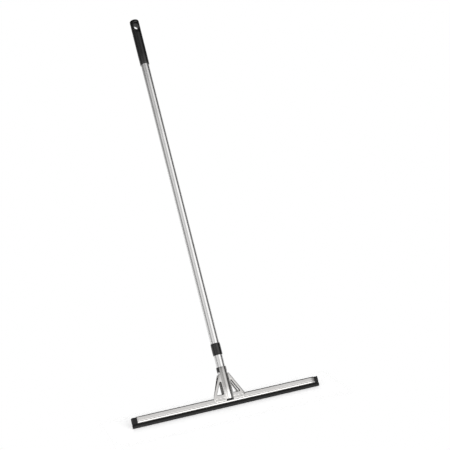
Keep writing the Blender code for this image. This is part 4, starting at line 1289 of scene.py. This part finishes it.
def quarter_round(radius, height, size, top):
    """Profile points of an outer edge rounded by this size, going downwards."""
    points = []
    for step in range(6):
        angle = math.pi / 2.0 * step / 5
        if top:
            points.append((radius - size + size * math.sin(angle),
                           height - size + size * math.cos(angle)))
        else:
            points.append((radius - size + size * math.cos(angle),
                           height + size - size * math.sin(angle)))
    return points


collar_profile = quarter_round(collar_radius, collar_high.z, COLLAR_ROUND, True)
collar_profile += groove_at(collar_radius, collar_high.z - COLLAR_GROOVE_INSET, False)
collar_profile += groove_at(collar_radius, collar_low.z + COLLAR_GROOVE_INSET, False)
collar_profile += quarter_round(collar_radius, collar_low.z, COLLAR_ROUND, False)
collar_profile += [
    (collar_bore + 0.3 * MM, collar_low.z),
    (collar_bore, collar_low.z + 0.3 * MM),
    (collar_bore, clamp_middle - rib_half),
    (tube_radius - rib_depth, clamp_middle - rib_half),
    (tube_radius - rib_depth, clamp_middle + rib_half),
    (collar_bore, clamp_middle + rib_half),
    (collar_bore, collar_high.z - 0.3 * MM),
    (collar_bore + 0.3 * MM, collar_high.z),
]
collar = smoothed(turned("twist_collar", collar_profile))
dressed(collar, black_plastic)
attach(collar, "collar")
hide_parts("coupling_collar")

# ---------------------------------------------------------------- handle tube
# Nearly a metre of drawn aluminium tube, 24 mm across with a thin wall. Two studs fix the
# keyed bush in its foot, and its upper end is pressed into the grip.

handle = tube_solid("handle_tube_drawn", handle_low.z, handle_high.z, tube_radius)
cross_drilled(handle, stud_radius + DRILL_SLACK, stud_z, tube_radius * 2.0)
smoothed(handle)
dressed(handle, aluminium)
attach(handle, "handle")
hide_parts("handle_tube")

# ---------------------------------------------------------------- grip
# Black moulded grip pressed over the top of the tube, with a rolled foot, a rounded end, and
# a hanging hole through a web between two long recesses.

GRIP_ROUND = 4.0 * MM
GRIP_FOOT_DROP = 0.3 * MM
GRIP_FOOT_LENGTH = 30.0 * MM
GRIP_FOOT_ROUND = 0.9 * MM
GRIP_GROOVE_INSET = 2.6 * MM
GRIP_TOP_WALL = 39.0 * MM
HOLE_RADIUS = 7.0 * MM
HOLE_DROP = 24.0 * MM
WEB_HALF = 6.2 * MM
RECESS_HALF_WIDTH = 9.5 * MM
RECESS_HALF_HEIGHT = 14.0 * MM
GRIP_EDGE = 0.5 * MM

grip_black = moulded("grip_polypropylene", 0.003, 0.18, 0.26, 0.12, 0.015)
grip_low, grip_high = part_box("hand_grip")
grip_radius = grip_high.x
foot_radius = grip_radius - GRIP_FOOT_DROP
grip_bore = tube_radius + PRESS_FIT
ceiling = grip_high.z - GRIP_TOP_WALL
grip_profile = [(0.0, grip_high.z)]
grip_profile += quarter_round(grip_radius, grip_high.z, GRIP_ROUND, True)
body_top = grip_high.z - GRIP_ROUND
body_low = grip_low.z + GRIP_FOOT_LENGTH
for step in range(1, 9):
    grip_profile.append((grip_radius, body_top + (body_low - body_top) * step / 8))
grip_profile += groove_at(foot_radius, grip_low.z + GRIP_GROOVE_INSET, False)
grip_profile += quarter_round(foot_radius, grip_low.z, GRIP_FOOT_ROUND, False)
grip_profile += [(grip_bore, grip_low.z), (grip_bore, ceiling), (0.0, ceiling)]
grip = turned("grip_moulded", grip_profile)
hole_z = grip_high.z - HOLE_DROP
recess_corners = box_outline(
    -RECESS_HALF_WIDTH, hole_z - RECESS_HALF_HEIGHT, RECESS_HALF_WIDTH, hole_z + RECESS_HALF_HEIGHT
)
recess_outline = rounded(recess_corners, RECESS_HALF_WIDTH * 0.98, 12)
for side in (-1.0, 1.0):
    near, far = sorted((side * WEB_HALF, side * 2.0 * grip_radius))
    cut(grip, prism("recess", recess_outline, near, far))
hanging = drill("hanging_hole", HOLE_RADIUS, 2.0 * grip_radius, 64)
cut(grip, along_y(hanging, 0.0, 0.0, hole_z))
smoothed(softened(grip, GRIP_EDGE, 3, 45.0))
dressed(grip, grip_black)
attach(grip, "handle")
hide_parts("hand_grip")
